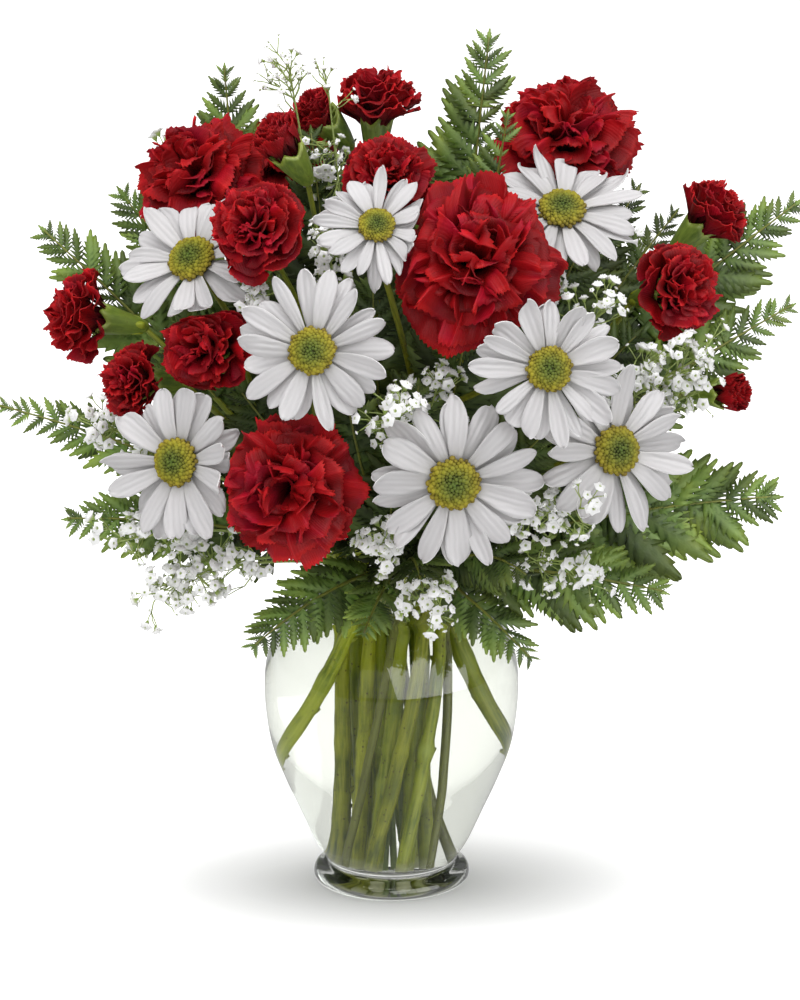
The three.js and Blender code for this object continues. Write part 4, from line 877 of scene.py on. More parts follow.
def carnation_petals(head, material):
    """Each petal is a sheet on a curve from the calyx out to its place on the dome.
    It widens and ruffles more and more on the way, and its rim is toothed."""
    large = head.radius > LARGE_BLOOM
    count, cols = (35, 45) if large else (29, 31)
    spine = np.array([0, 0.22, 0.42, 0.58, 0.72, 0.84, 0.94, 1.0] if large else
                     [0, 0.25, 0.48, 0.68, 0.84, 0.95, 1.0])
    rng = np.random.default_rng(int(head.radius * 10 + abs(head.place[0]) * 3))
    R, bud = head.radius, head.bud
    top, _, width, _ = calyx_of(R, bud)
    q = (np.arange(count) + 0.5) / count
    turn = np.arange(count) * GOLDEN + rng.normal(0, 0.2, count)
    reach = mix(np.interp(q, DOME_AT, DOME_REACH), 0.3 + 0.6 * q, bud)
    reach = reach * (1 + rng.normal(0, 0.05, count))
    rise = mix(np.interp(q, DOME_AT, DOME_RISE), 0.9 - 0.45 * q, bud) + rng.normal(0, 0.04, count)
    reach, rise = (v[:, None, None] * R for v in (np.minimum(reach, 1.03), rise))
    q = q[:, None, None]

    def spread(low, high):
        return rng.uniform(low, high, count)[:, None, None]

    s = spine[None, :, None]
    t = np.linspace(-1, 1, cols)[None, None, :]
    out = s * (1 - 0.2 * t ** 2 * smooth(s))
    teeth = np.where(np.arange(cols) % 2, 1, -1) * rng.uniform(0.4, 1.2, (count, cols))
    out = np.broadcast_to(out, (count, len(spine), cols)).copy()
    out[:, -1] += teeth * (0.6 / R)
    if large:
        base = (width * 0.12 * (0.3 + q), -top - 2.0)
        bend = (reach * (0.3 + 0.15 * q), rise + R * (0.05 + 0.3 * q))
    else:
        base = (width * mix(1.3, 1.5, bud) * (0.25 + 0.75 * q), MOUTH_RISE * R - top - 1.0)
        bend = (reach * (0.4 + 0.3 * q) * mix(1, 1.4, bud),
                rise + R * mix(0.05 - 0.08 * q, -0.5, bud))

    def curve(k, low, knee, high):
        return ((1 - k) ** 2) * low + 2 * k * (1 - k) * knee + k * k * high

    r, z = curve(out, base[0], bend[0], reach), curve(out, base[1], bend[1], rise)
    dr = 2 * (1 - out) * (bend[0] - base[0]) + 2 * out * (reach - bend[0])
    dz = 2 * (1 - out) * (bend[1] - base[1]) + 2 * out * (rise - bend[1])
    size = np.hypot(dr, dz)
    normal_r, normal_z = -dz / size, dr / size
    half = R * mix(0.38, 0.62 if large else 0.7, q) * spread(0.85, 1.15) * mix(1, 0.8, bud)
    x = half * (0.1 + 0.9 * smooth((out - 0.12) / 0.8)) * t
    ruffle = slide = 0
    for folds, depth, power in RUFFLES:
        angle = math.pi * folds * spread(0.8, 1.25) * t + spread(0, 6.28) + spread(-1, 1) * s
        amount = R * depth * spread(0.7, 1.3) * s ** power * mix(1, 0.45, bud)
        ruffle = ruffle + amount * np.sin(angle)
        slide = slide + amount * 0.45 * np.cos(angle)
    twist = spread(-1, 1) * mix(0.8, 0.2, q) * s ** 1.5 * mix(1, 0.4, bud)
    x = x + slide
    side = x * np.cos(twist) - ruffle * np.sin(twist)
    lift = x * np.sin(twist) + ruffle * np.cos(twist)
    cup = x ** 2 / (2 * np.maximum(r, 0.42 * R)) * mix(1, 0.8, q)
    radial = r + normal_r * lift - cup
    height = z + normal_z * lift
    phi = turn[:, None, None]
    points = press(head, stand_along(head.axis, head.place, round_axis(radial, side, height, phi)))
    shape = Shape()
    # how high a fold stands, for painted light on its ridges and painted shade in its hollows
    fold_light_and_shade = 0.5 + ruffle / (R * 0.2)
    own = np.broadcast_to(spread(0, 1), out.shape)
    along = np.clip(out, 0, 1) ** (1 if large else 0.75)
    tone = np.stack([along, own, np.clip(fold_light_and_shade, 0, 1), np.ones_like(out)], axis=-1)
    lay = np.stack([x + 100 * q, out * R, own * 50], axis=-1)
    sheets(shape, points, PETAL_SHEET, tone, lay)
    return shape.make(head.name + "_petals", [material])


# ---------------------------------------------------------------- daisies

# places along a ray from root to tip, its width there, and places across it
RAY_AT = np.array([0, 0.12, 0.26, 0.42, 0.58, 0.72, 0.84, 0.92, 0.975, 1.0])
RAY_WIDE = np.array([0.36, 0.45, 0.62, 0.82, 0.97, 1.0, 0.86, 0.64, 0.38, 0.1])
RAY_ACROSS = np.array([-1, -0.75, -0.52, -0.34, -0.17, 0, 0.17, 0.34, 0.52, 0.75, 1])
RAYS_PER_ROW = 11
RAY_SHEET = 0.5
DISC_FLORETS = 170


def daisy_rays(head):
    """Two rows of rays, the upper one set between the lower. Every ray has its own
    length, width, tilt, curl and notch."""
    count = 2 * RAYS_PER_ROW
    rng = np.random.default_rng(int(head.radius * 10 + abs(head.place[0])))
    R = head.radius

    def spread(low, high):
        return rng.uniform(low, high, count)[:, None, None]

    above = np.where(np.arange(count) < RAYS_PER_ROW, -1.0, 1.0)[:, None, None]
    step = 2 * math.pi / RAYS_PER_ROW
    phi = (np.arange(count) % RAYS_PER_ROW)[:, None, None] * step + (above > 0) * step / 2
    phi = phi + spread(-0.1, 0.1)
    s = RAY_AT[None, :, None]
    t = RAY_ACROSS[None, None, :]
    length = R * spread(0.88, 1.05)
    notch = 0.03 * R * smooth((s - 0.85) / 0.15) * np.exp(-(t / 0.2) ** 2) * spread(0, 1.0)
    r = 0.16 * R + (length - 0.16 * R) * s - notch
    half = R * 0.135 * RAY_WIDE[None, :, None] * spread(0.7, 1.2)
    bend = spread(-0.1, 0.1) * R * s ** 2
    x = half * t + bend
    groove = np.exp(-((np.abs(t) - 0.34) / 0.12) ** 2)
    groove = groove * smooth(s / 0.2) * (1 - smooth((s - 0.85) / 0.15))
    tilt = above * (0.01 + 0.05 * spread(0, 1)) + spread(-0.015, 0.015)
    z = above * RAY_ROWS_APART / 2 + R * (0.05 * np.sin(math.pi * s) + tilt * s)
    z = z + R * 0.035 * t ** 2 * smooth(s * 2) * spread(-0.8, 1.4) - 0.35 * groove
    curl = spread(-1.3, 1) + np.where(spread(0, 1) > 0.84, 1.6, 0)
    z = z + spread(-1, 1) * R * 0.09 * t * s + curl * R * 0.11 * s ** 3
    points = press(head, stand_along(head.axis, head.place, round_axis(r, x, z, phi)))
    full = np.zeros_like(x)
    own = full + spread(0, 1)
    # where the ray is painted grey, as painted shade: its grooves, its middle and near its root
    inside = np.clip(0.75 * groove + 0.35 * (1 - t ** 2) + 0.5 * (1 - smooth(s * 2.2)), 0, 1)
    tone = np.stack([full + s, own, full + inside, full + 1], axis=-1)
    under = np.stack([full + s, own * 0.5, full + 1, full + 1], axis=-1)
    lay = np.stack([x, r + full, full], axis=-1)
    shape = Shape()
    sheets(shape, points, RAY_SHEET, tone, lay, under)
    return shape.make(head.name + "_ray_petals", [RAY])


def group_tree(name, inputs):
    tree = bpy.data.node_groups.new(name, "GeometryNodeTree")
    tree.interface.new_socket("Geometry", in_out="INPUT", socket_type="NodeSocketGeometry")
    tree.interface.new_socket("Geometry", in_out="OUTPUT", socket_type="NodeSocketGeometry")
    for label, kind, value in inputs:
        socket = tree.interface.new_socket(label, in_out="INPUT", socket_type=kind)
        if value is not None:
            socket.default_value = value
    return tree


def grown(name, base, tree, values):
    """The plain mesh that a tree makes of an object, which it then takes the place of."""
    modifier = base.modifiers.new("grow", "NODES")
    modifier.node_group = tree
    for item in tree.interface.items_tree:
        if item.item_type == "SOCKET" and item.in_out == "INPUT" and item.name in values:
            modifier[item.identifier] = values[item.name]
    bpy.context.view_layer.update()
    evaluated = base.evaluated_get(bpy.context.evaluated_depsgraph_get())
    mesh = bpy.data.meshes.new_from_object(evaluated)
    mesh.name = name
    base.modifiers.clear()
    bpy.data.objects.remove(base)
    return new_object(name, mesh)


def spiral_tree():
    """Florets on a dome in a sunflower spiral: each stands a golden angle on from
    the last, at a distance that grows with the root of its number."""
    tree = group_tree("disc_florets_in_a_spiral", [
        ("Florets", "NodeSocketInt", 150), ("Radius", "NodeSocketFloat", 0.01),
        ("Height", "NodeSocketFloat", 0.005), ("Floret size", "NodeSocketFloat", 0.001),
        ("Floret", "NodeSocketObject", None), ("Seed", "NodeSocketInt", 7),
        ("Finish", "NodeSocketMaterial", None)])
    given = add_node(tree, "NodeGroupInput").outputs
    sums = {"number": add_node(tree, "GeometryNodeInputIndex"), "florets": given["Florets"],
            "radius": given["Radius"], "height": given["Height"]}
    for name, operation, *terms in (
            ("share", "DIVIDE", "number", "florets"), ("root", "POWER", "share", 0.5),
            ("out", "MULTIPLY", "root", "radius"), ("angle", "MULTIPLY", "number", GOLDEN),
            ("cos", "COSINE", "angle"), ("sin", "SINE", "angle"),
            ("x", "MULTIPLY", "cos", "out"), ("y", "MULTIPLY", "sin", "out"),
            ("fall", "SUBTRACT", 1.0, "share"), ("dome", "POWER", "fall", 0.5),
            ("z", "MULTIPLY", "dome", "height"), ("lean", "ADD", "z", "radius")):
        terms = {i: sums.get(term, term) for i, term in enumerate(terms)}
        sums[name] = add_node(tree, "ShaderNodeMath", terms, operation=operation)
    x, y, z, lean, root = (sums[name] for name in ("x", "y", "z", "lean", "root"))
    place = add_node(tree, "ShaderNodeCombineXYZ", {"X": x, "Y": y, "Z": z})
    points = add_node(tree, "GeometryNodePoints", {"Count": given["Florets"], "Position": place})
    way = add_node(tree, "ShaderNodeCombineXYZ", {"X": x, "Y": y, "Z": lean})
    turn = add_node(tree, "FunctionNodeAlignRotationToVector", {"Vector": way}, axis="Z")
    chance, bright = (
        add_node(tree, "FunctionNodeRandomValue", {2: low, 3: high, "Seed": given["Seed"]},
                 data_type="FLOAT").outputs[1] for low, high in ((0.8, 1.2), (0.0, 1.0)))
    grow = add_node(tree, "ShaderNodeMapRange", {"Value": root, "To Min": 0.75, "To Max": 1.25})
    size = given["Floret size"]
    for factor in (chance, grow):
        size = add_node(tree, "ShaderNodeMath", {0: factor, 1: size}, operation="MULTIPLY")
    tone = add_node(tree, "FunctionNodeCombineColor", {0: root, 1: bright, 2: 0.0})
    points = add_node(tree, "GeometryNodeStoreNamedAttribute", {
        "Geometry": points, "Name": "tone", "Value": tone}, data_type="FLOAT_COLOR", domain="POINT")
    floret = add_node(tree, "GeometryNodeObjectInfo", {"Object": given["Floret"]})
    placed = add_node(tree, "GeometryNodeInstanceOnPoints", {
        "Points": points, "Instance": floret.outputs["Geometry"], "Rotation": turn, "Scale": size})
    real = add_node(tree, "GeometryNodeRealizeInstances", {"Geometry": placed})
    both = add_node(tree, "GeometryNodeJoinGeometry", {0: [given["Geometry"], real]})
    done = add_node(tree, "GeometryNodeSetMaterial", {
        "Geometry": both, "Material": given["Finish"]})
    add_node(tree, "NodeGroupOutput", {0: done})
    return tree


def floret_bud():
    """A tiny closed floret, one unit high: a six-sided bud that widens upwards."""
    shape = Shape()
    heights, radii = np.array([(-0.6, 0.3), (0.1, 0.5), (0.62, 0.52), (0.9, 0.3)]).T
    path = np.array([[0, 0, h] for h in heights]) / MM
    tube(shape, path, radii / MM, 6, (0, 0, 0, 1))
    made = shape.make("disc_floret_bud", [DISC])
    made.data.attributes.remove(made.data.attributes["tone"])
    return made


def daisy_disc(head, tree, bud):
    """A low dome that the spiral covers with florets, stood on the head's axis."""
    R = head.radius
    base = (RAY_ROWS_APART + RAY_THICK) / 2 + GAP - 0.6
    radius, height = 0.265 * R, 0.13 * R
    dome = Shape()
    side = [(radius * math.cos(a), 0.2 + height * math.sin(a)) for a in np.linspace(0, 1.45, 8)]
    lathe(dome, [(0, 0.2), *side, (0, 0.2 + height)], 24)
    dome.tones[0] = np.tile([0.6, 0.1, 0, 1.0], (dome.count, 1))
    raw = dome.make(head.name + "_dome", [DISC])
    made = grown(head.name + "_disc_florets", raw, tree, {
        "Florets": DISC_FLORETS, "Radius": radius * MM, "Height": (height + 0.1) * MM,
        "Floret size": 0.052 * R * MM, "Floret": bud, "Seed": int(R * 10), "Finish": DISC})
    points = np.empty(len(made.data.vertices) * 3)
    made.data.vertices.foreach_get("co", points)
    points = stand_along(head.axis, head.place, points.reshape(-1, 3) / MM + [0, 0, base]) * MM
    made.data.vertices.foreach_set("co", points.ravel())
    made.data.update()
    return made


# ---------------------------------------------------------------- stems

CALYX_TEETH = 5
STUBS_PER_STEM = 5
# distance from one pair of leaves, and one joint, to the next
NODES_APART = 58
SMALL_NODES_APART = 44
# the heart of the bouquet, where the stems are painted dark as painted shade, starts at this height
HEART_FROM = 158
# no leaf stands within this radius below this height, where the vase is
LEAFLESS = (62, 165)


def joints(path, radii, first, apart, swell):
    """Radii with a swollen joint every so often along the path."""
    run = lengths_along(path)
    radii = np.array(radii, float)
    pale = np.zeros(len(path))
    for at in np.arange(first, run[-1] - 12, apart):
        bump = np.exp(-((run - at) / 2.4) ** 2)
        radii *= 1 + swell * bump
        pale = np.maximum(pale, bump * 0.7)
    return radii, pale


def cup_rings(head, size_of, teeth, sides=40):
    """A calyx: a closed cup whose rim stands up in pointed teeth."""
    top, length, width, tips = size_of(head.radius, head.bud)
    if teeth == CALYX_TEETH and head.radius <= LARGE_BLOOM:
        rise = MOUTH_RISE * head.radius
        top, length, tips = top - rise, length * 1.15 + rise, tips * 1.5
        width = width * mix(1.35, 1.55, head.bud)
    phi = np.arange(sides) * 2 * math.pi / sides
    tooth = (1 - np.abs(((phi * teeth / (2 * math.pi)) % 1) * 2 - 1)) ** 1.3
    if teeth == CALYX_TEETH:
        outer = [(0, 0.3), (0.06, 0.42), (0.2, 0.58), (0.42, 0.76), (0.68, 0.92), (0.86, 1.0),
                 (1.0, 1.06)]
    else:
        outer = [(-0.1, 0.3), (0.1, 0.62), (0.35, 0.86), (0.65, 0.98), (0.9, 1.02), (1.0, 1.0)]
    rings = []
    for share, wide in outer:
        z = -top - length + length * share
        rim = smooth((share - 0.55) / 0.45)
        out = width * wide * (1 + 0.24 * rim * tooth)
        rings.append(np.stack([np.cos(phi) * out, np.sin(phi) * out,
                               z + tips * 1.7 * tooth * rim], axis=-1))
    for wide, drop in ((0.96, 0.1), (0.86, 1.0), (0.5, 1.6)):
        lift = tips * 1.7 * tooth * (0.95 if drop < 1 else 0)
        rings.append(np.stack([np.cos(phi) * width * wide, np.sin(phi) * width * wide,
                               -top - drop + lift], axis=-1))
    return np.array(rings)


def bracts(shape, head, size_of, count, long, wide, at, tone):
    """Small pointed scales that hug the foot of a calyx or the back of a daisy."""
    top, length, width, _ = size_of(head.radius, head.bud)
    s = np.array([0, 0.3, 0.6, 0.85, 1.0])[None, :, None]
    t = np.array([-1, 0, 1])[None, None, :]
    phi = np.arange(count)[:, None, None] * 2 * math.pi / count + 0.3
    out = width * np.interp(s, [0, 1], [at[1], at[2]]) + 0.35
    half = wide * (1 - s ** 1.6) * (0.5 + s)
    z = -top - length * (1 - at[0]) + long * s
    x = half * t
    points = stand_along(head.axis, head.place, round_axis(out - 0.25 * t ** 2, x, z, phi))
    full = points.shape[:3]
    sheets(shape, points, 0.5, np.broadcast_to(tone, full + (4,)), np.zeros(full + (3,)))


def thick_in_water(path):
    """The cut stems are stoutest at the foot, and a little uneven."""
    z = path[:, 2]
    uneven = 1 + 0.05 * np.sin(z * 0.13 + path[0, 0]) * np.sin(z * 0.31 + path[0, 1])
    return mix(1.22, 1.0, smooth((z - 100) / 60)) * uneven


def stem_tones(path, pale, own, cut):
    """Stems are painted darker in the heart of the bouquet than in the vase, as
    painted shade, pale at their joints and paler where they are cut."""
    painted_heart_shade = 1 - 0.95 * smooth((path[:, 2] - HEART_FROM) / 40)
    tones = np.stack([pale, own * painted_heart_shade, np.zeros(len(path)), np.ones(len(path))], axis=-1)
    tones[0, 2] = cut
    return tones


def leaf_scars(shape, path, radii, own):
    """Short brown stubs where the lower leaves were stripped off. None of them
    points outwards, at the glass."""
    rng = np.random.default_rng(int(abs(path[0] @ (71, 37, 0))) + 3)
    along = unit(np.gradient(path, axis=0))
    for height in rng.uniform(22, 148, STUBS_PER_STEM):
        i = int(np.argmin(np.abs(path[:, 2] - height)))
        side = unit(np.cross(along[i], rng.normal(0, 1, 3)))
        outwards = unit(path[i] * (1, 1, 0))
        side = -side if side @ outwards > 0.2 else side
        foot = path[i] + side * radii[i] * 0.75
        tip = foot + side * rng.uniform(1.3, 2.5) + along[i] * rng.uniform(0.6, 2.6)
        stub = foot + (tip - foot) * np.linspace(0, 1, 4)[:, None]
        taper = radii[i] * np.array([0.42, 0.35, 0.28, 0.16])
        tube(shape, stub, taper, 6, (rng.uniform(0, 0.3), own * 0.45, 0, 1))


def stem_to_head(shape, head, path, radius, size_of, own, in_vase=None):
    """A stem with its calyx or cup, and with its part in the vase, if it has one."""
    is_daisy = size_of is daisy_cup_of
    path = flowing(path, 4)
    if in_vase is not None:
        path = np.concatenate([in_vase, path[1:]])
    radii = np.linspace(radius, radius * 0.8, len(path)) * thick_in_water(path)
    pale = np.zeros(len(path))
    if not is_daisy:
        apart = NODES_APART if head.radius > LARGE_BLOOM else SMALL_NODES_APART
        radii, pale = joints(path, radii, 46, apart, 0.26)
    tube(shape, path, radii, 12, stem_tones(path, pale, own, in_vase is not None))
    if in_vase is not None:
        leaf_scars(shape, path, radii, own)
    rings = cup_rings(head, size_of, 1 if is_daisy else CALYX_TEETH)
    tone = np.zeros((len(rings), 1, 4)) + (0.12, own, 0, 1)
    if not is_daisy:
        tone[:, 0, 0] = np.interp(range(len(rings)), [0, 2, 5, 6, 7], [0.5, 0.1, 0.05, 0.5, 0.2])
    cup = stand_along(head.axis, head.place, rings)
    rings_closed(shape, cup, tone, rings[..., [0, 2, 1]], 0 if is_daisy else 1)
    if is_daisy:
        bracts(shape, head, size_of, 13, head.radius * 0.17, 1.3, (0.25, 0.8, 1.35),
               (0.2, own, 0, 1))
    else:
        bracts(shape, head, size_of, 4, 5.5, 2.4, (0.0, 0.62, 0.86), (0.3, own, 0, 1))


def stalk_in_vase(low, start, sag=0):
    """The stem from the vase's floor to its neck, bowed a little, or sagging in
    towards the middle where it leans out on the glass."""
    t = np.linspace(0, 1, 28)[:-1, None]
    inward = -unit(np.array([low[0] + start[0], low[1] + start[1], 0.0]))
    bow = inward * (sag if sag else 1.2 * math.sin(low[0] * 3.7 + low[1]))
    return low + (start - low) * t + bow * np.sin(math.pi * t) ** 1.2


def clear_of_heads(points, margin):
    return all((head.reach_of(points, margin) >= 1).all() for head in HEADS.values())


def leaf_pairs(shape, path, places, long, own, seed):
    """Narrow curling leaves, set in pairs at the joints of a carnation stem."""
    rng = np.random.default_rng(seed)
    run = lengths_along(path)
    along = unit(np.gradient(path, axis=0))
    for at in places:
        i = int(np.argmin(np.abs(run - at)))
        side = unit(np.cross(along[i], rng.normal(0, 1, 3)))
        for sign in (-1, 1):
            way = side * sign
            s = np.linspace(0, 1, 9)[:, None]
            reach = long * rng.uniform(0.7, 1.1)
            spine = path[i] + along[i] * (reach * (0.9 * s - 0.35 * s ** 2))
            spine = spine + way * (1.5 + reach * (0.1 * s + 0.6 * s ** 2))
            from_axis = np.hypot(spine[:, 0], spine[:, 1])
            in_vase = (from_axis < LEAFLESS[0]) & (spine[:, 2] < LEAFLESS[1])
            if in_vase.any() or not clear_of_heads(spine, 1.0):
                continue
            across = unit(np.cross(way, along[i]))
            half = 2.1 * (1 - s ** 3) * (0.7 + 0.5 * s)
            t = np.array([-1, 0, 1])[None, :, None]
            grid = spine[:, None] + across * half[:, None] * t + along[i] * 0.5 * t ** 2
            tone = np.broadcast_to((0.15, own, 0, 1), (1, 9, 3, 4))
            sheets(shape, grid[None], 0.5, tone, np.zeros((1, 9, 3, 3)))


def stem_node(name):
    return name.replace("carnation_", "carnation_stem_")


def carnation_stem(name):
    _, radius, _, ring, slot, rest = CARNATIONS[name]
    start, low, _ = stem_in_vase(ring, slot, rest)
    shape = Shape()
    own = 0.45 + 0.55 * ((int(name[-1]) * 0.37) % 1)
    route = ROUTE[name].up_to_head()
    stem_to_head(shape, HEADS[name], route, STEM_RADIUS["carnation"], calyx_of, own,
                 stalk_in_vase(low, start, 4.5 if rest else 0))
    path = flowing(route, 4)
    places = np.arange(40, lengths_along(path)[-1] - 30, NODES_APART)
    leaf_pairs(shape, path, places, 34, own, int(radius))
    return shape.make(stem_node(name) + "_green", CARNATION_GREENS)


def branching_stem(kind, number, row, heads, size_of, main, branch, materials):
    ring, slot, _ = row
    start, low, _ = stem_in_vase(ring, slot)
    name = f"{kind}_stem_{number}"
    own = 0.45 + 0.55 * ((number * 0.31 + 0.2) % 1)
    has_joints = kind != "daisy"
    shape = Shape()
    path = np.concatenate([stalk_in_vase(low, start), flowing(ROUTE[name].points, 4)])
    radii = np.linspace(main, branch + 0.5, len(path))
    radii, pale = joints(path, radii, 60, 55, 0.3 if has_joints else 0.12)
    radii = radii * thick_in_water(path)
    tube(shape, path, radii, 12, stem_tones(path, pale * has_joints, own, 1))
    leaf_scars(shape, path, radii, own)
    for head_name, head_row in heads.items():
        if head_row[3] == number:
            route = ROUTE[head_name].up_to_head()
            stem_to_head(shape, HEADS[head_name], route, branch, size_of, own)
    return shape.make(name + "_green", materials)


# ---------------------------------------------------------------- fern, breath


def sprig_tree(name):
    """Stands a small shape on each loose point of a frond or a spray: its length
    along the point's way, its face along the point's face, at the point's size."""
    tree = group_tree(name, [
        ("Sprig", "NodeSocketObject", None), ("Sprig size", "NodeSocketFloat", 1.0),
        ("Finish", "NodeSocketMaterial", None)])
    given = add_node(tree, "NodeGroupInput").outputs
    way, face, size = (
        add_node(tree, "GeometryNodeInputNamedAttribute", {"Name": key}, data_type=kind)
        for key, kind in (("way", "FLOAT_VECTOR"), ("face", "FLOAT_VECTOR"), ("size", "FLOAT")))
    bears = add_node(tree, "FunctionNodeCompare", {0: size, 1: 0.0}, data_type="FLOAT",
                     operation="GREATER_THAN")
    turn = add_node(tree, "FunctionNodeAxesToRotation", {0: way, 1: face}, primary_axis="Y",
                    secondary_axis="Z")
    scale = add_node(tree, "ShaderNodeMath", {0: size, 1: given["Sprig size"]},
                     operation="MULTIPLY")
    sprig = add_node(tree, "GeometryNodeObjectInfo", {"Object": given["Sprig"]})
    placed = add_node(tree, "GeometryNodeInstanceOnPoints", {
        "Points": given["Geometry"], "Selection": bears, "Instance": sprig.outputs["Geometry"],
        "Rotation": turn, "Scale": scale})
    real = add_node(tree, "GeometryNodeRealizeInstances", {"Geometry": placed})
    real = add_node(tree, "GeometryNodeSetMaterial", {
        "Geometry": real, "Material": given["Finish"]})
    stalks = add_node(tree, "GeometryNodeDeleteGeometry", {
        "Geometry": given["Geometry"], "Selection": bears}, domain="POINT")
    both = add_node(tree, "GeometryNodeJoinGeometry", {0: [stalks, real]})
    add_node(tree, "NodeGroupOutput", {0: both})
    return tree


class Sprigs:
    """Where leaflets or florets stand, which way they point and face, and how long."""

    def __init__(self):
        self.roots, self.ways, self.faces, self.sizes, self.shades = [], [], [], [], []

    def bear(self, root, way, face, size, shade=0.5):
        self.roots.append(root)
        self.ways.append(way)
        self.faces.append(face)
        self.sizes.append(size)
        self.shades.append(shade)


def bearing(shape, name, material, sprigs):
    """The object of a shape with loose points that are to bear sprigs."""
    shape.add(sprigs.roots, np.zeros((0, 4), int))
    made = shape.make(name, [material])
    before = len(made.data.vertices) - len(sprigs.roots)
    for key, kind, prop, rows, width in (("way", "FLOAT_VECTOR", "vector", sprigs.ways, 3),
                                         ("face", "FLOAT_VECTOR", "vector", sprigs.faces, 3),
                                         ("size", "FLOAT", "value", sprigs.sizes, 1),
                                         ("shade", "FLOAT", "value", sprigs.shades, 1)):
        data = np.concatenate([np.zeros((before, width)), np.reshape(rows, (-1, width))])
        made.data.attributes.new(key, kind, "POINT").data.foreach_set(prop, data.ravel())
    return made


def fern_leaflet():
    """One toothed leaflet of unit length along +Y, cut in towards its rib."""
    teeth = 7
    rows = 2 * teeth + 1
    u = np.linspace(0, 1, rows) ** 0.9
    tip_row = np.arange(rows) % 2 == 1
    wide = np.interp(u, [0, 0.1, 0.3, 0.6, 0.85, 1], [0.2, 0.3, 0.29, 0.19, 0.08, 0.005])
    wide = wide * np.where(tip_row, 1.0, mix(0.2, 0.8, smooth((u - 0.3) / 0.6)))
    ahead = np.where(tip_row, 0.21 * (1 - u) ** 0.5, 0)
    t = np.array([-1, 0, 1])
    x = wide[:, None] * t
    y = (u + 0.1 * u ** 6)[:, None] + ahead[:, None] * np.abs(t)
    z = -0.05 * np.abs(t) - 0.16 * u[:, None] ** 2 + np.where(tip_row, 0.0, 0.012)[:, None]
    grid = np.stack([x, y, z], axis=-1)[None] / MM
    tone = np.zeros((1, rows, 3, 4))
    tone[..., 0] = (0.6 * u ** 3)[:, None] + 0.25 * np.abs(t) * tip_row[:, None]
    tone[..., 1] = 0.5
    tone[0, :, 1, 2] = 0.5
    tone[..., 3] = 1
    shape = Shape()
    sheets(shape, grid, 0.018 / MM, tone, np.zeros((1, rows, 3, 3)))
    return shape.make("fern_leaflet", [FERN])


LEAFLETS_APART = 6.2
TWIGS_PER_SPRAY = 26
# widths of florets, with fewer and smaller ones at the top of the bouquet
FLORET_SIZES = [2.0, 2.4, 4.6, 5.4, 6.2]
TOP_FLORET_SIZES = [1.8, 2.2, 2.6, 4.2]
TOP_FROM = 350
# where the camera stands, and the small closed blooms that it sees uncovered
EYE = np.array([4, -1700, 652])
LEFT_OPEN = [HEADS[f"spray_carnation_{i}"] for i in (10, 2, 11)]


def hides_a_bud(point):
    """Whether a point stands before one of the small closed blooms from the front."""
    for head in LEFT_OPEN:
        way = unit(EYE - head.middle)
        off = point - head.middle
        if off @ way > 0 and np.linalg.norm(off - way * (off @ way)) < head.radius + 3:
            return True
    return False


def frond(shape, leaves, path, half, blade, facing, rng, tuft, light=1):
    """One frond: a stalk along the path, leaflets in pairs on its blade, and a
    tuft of smaller ones all round the stalk below the blade. The tuft's leaflets,
    and all leaflets of a frond with a low light, are painted darker, as painted shade."""
    run = lengths_along(path)
    share = run / run[-1]
    tube(shape, path, np.interp(share, [0, 1 - blade, 1], [1.3, 0.95, 0.35]), 8, (0, 0.5, 0, 1))
    along = unit(np.gradient(path, axis=0))
    face = unit(direction_of(facing) - along * (along @ direction_of(facing))[:, None])
    side_way = np.cross(along, face)
    pairs = max(6, round(run[-1] * blade / LEAFLETS_APART))

    def leaflet(j, way, out, long, shade):
        probe = path[j] + way * long * np.array([0.35, 0.7, 1.0])[:, None]
        while long > 3 and not clear_of_heads(probe, 0.6):
            long *= 0.8
            probe = path[j] + way * long * np.array([0.35, 0.7, 1.0])[:, None]
        leaves.bear(path[j], way, unit(out + rng.normal(0, 0.22, 3)), long, shade)

    for k in range(pairs + 1):
        j = int(np.argmin(np.abs(share - mix(1 - blade, 0.985, k / pairs))))
        reach = half * float(np.interp(k / pairs, [0, 0.2, 0.6, 1], [1.2, 1.5, 1.15, 0.35]))
        for sign in (-1, 1):
            way = side_way[j] * sign + along[j] * rng.uniform(0.85, 1.15)
            way = unit(way - face[j] * rng.uniform(-0.1, 0.25))
            leaflet(j, way, face[j], reach * rng.uniform(0.85, 1.1), rng.uniform(0.25, 1.0) * light)
    leaves.bear(path[-3], along[-1], face[-1], half * 0.3 + 3, 0.8 * light)
    for _ in range(tuft):
        at = rng.uniform(0.2, max(0.3, 1.1 - blade))
        j = int(np.argmin(np.abs(share - at)))
        if path[j, 2] < RIM_TOP + 8:
            continue
        around = unit(np.cross(along[j], rng.normal(0, 1, 3)))
        way = unit(around + along[j] * rng.uniform(0.2, 0.9))
        # the tuft's leaflets, in the heart, get a low shade, as painted shade
        leaflet(j, way, along[j] - way * (way @ along[j]), rng.uniform(14, 26), rng.uniform(0, 0.3))


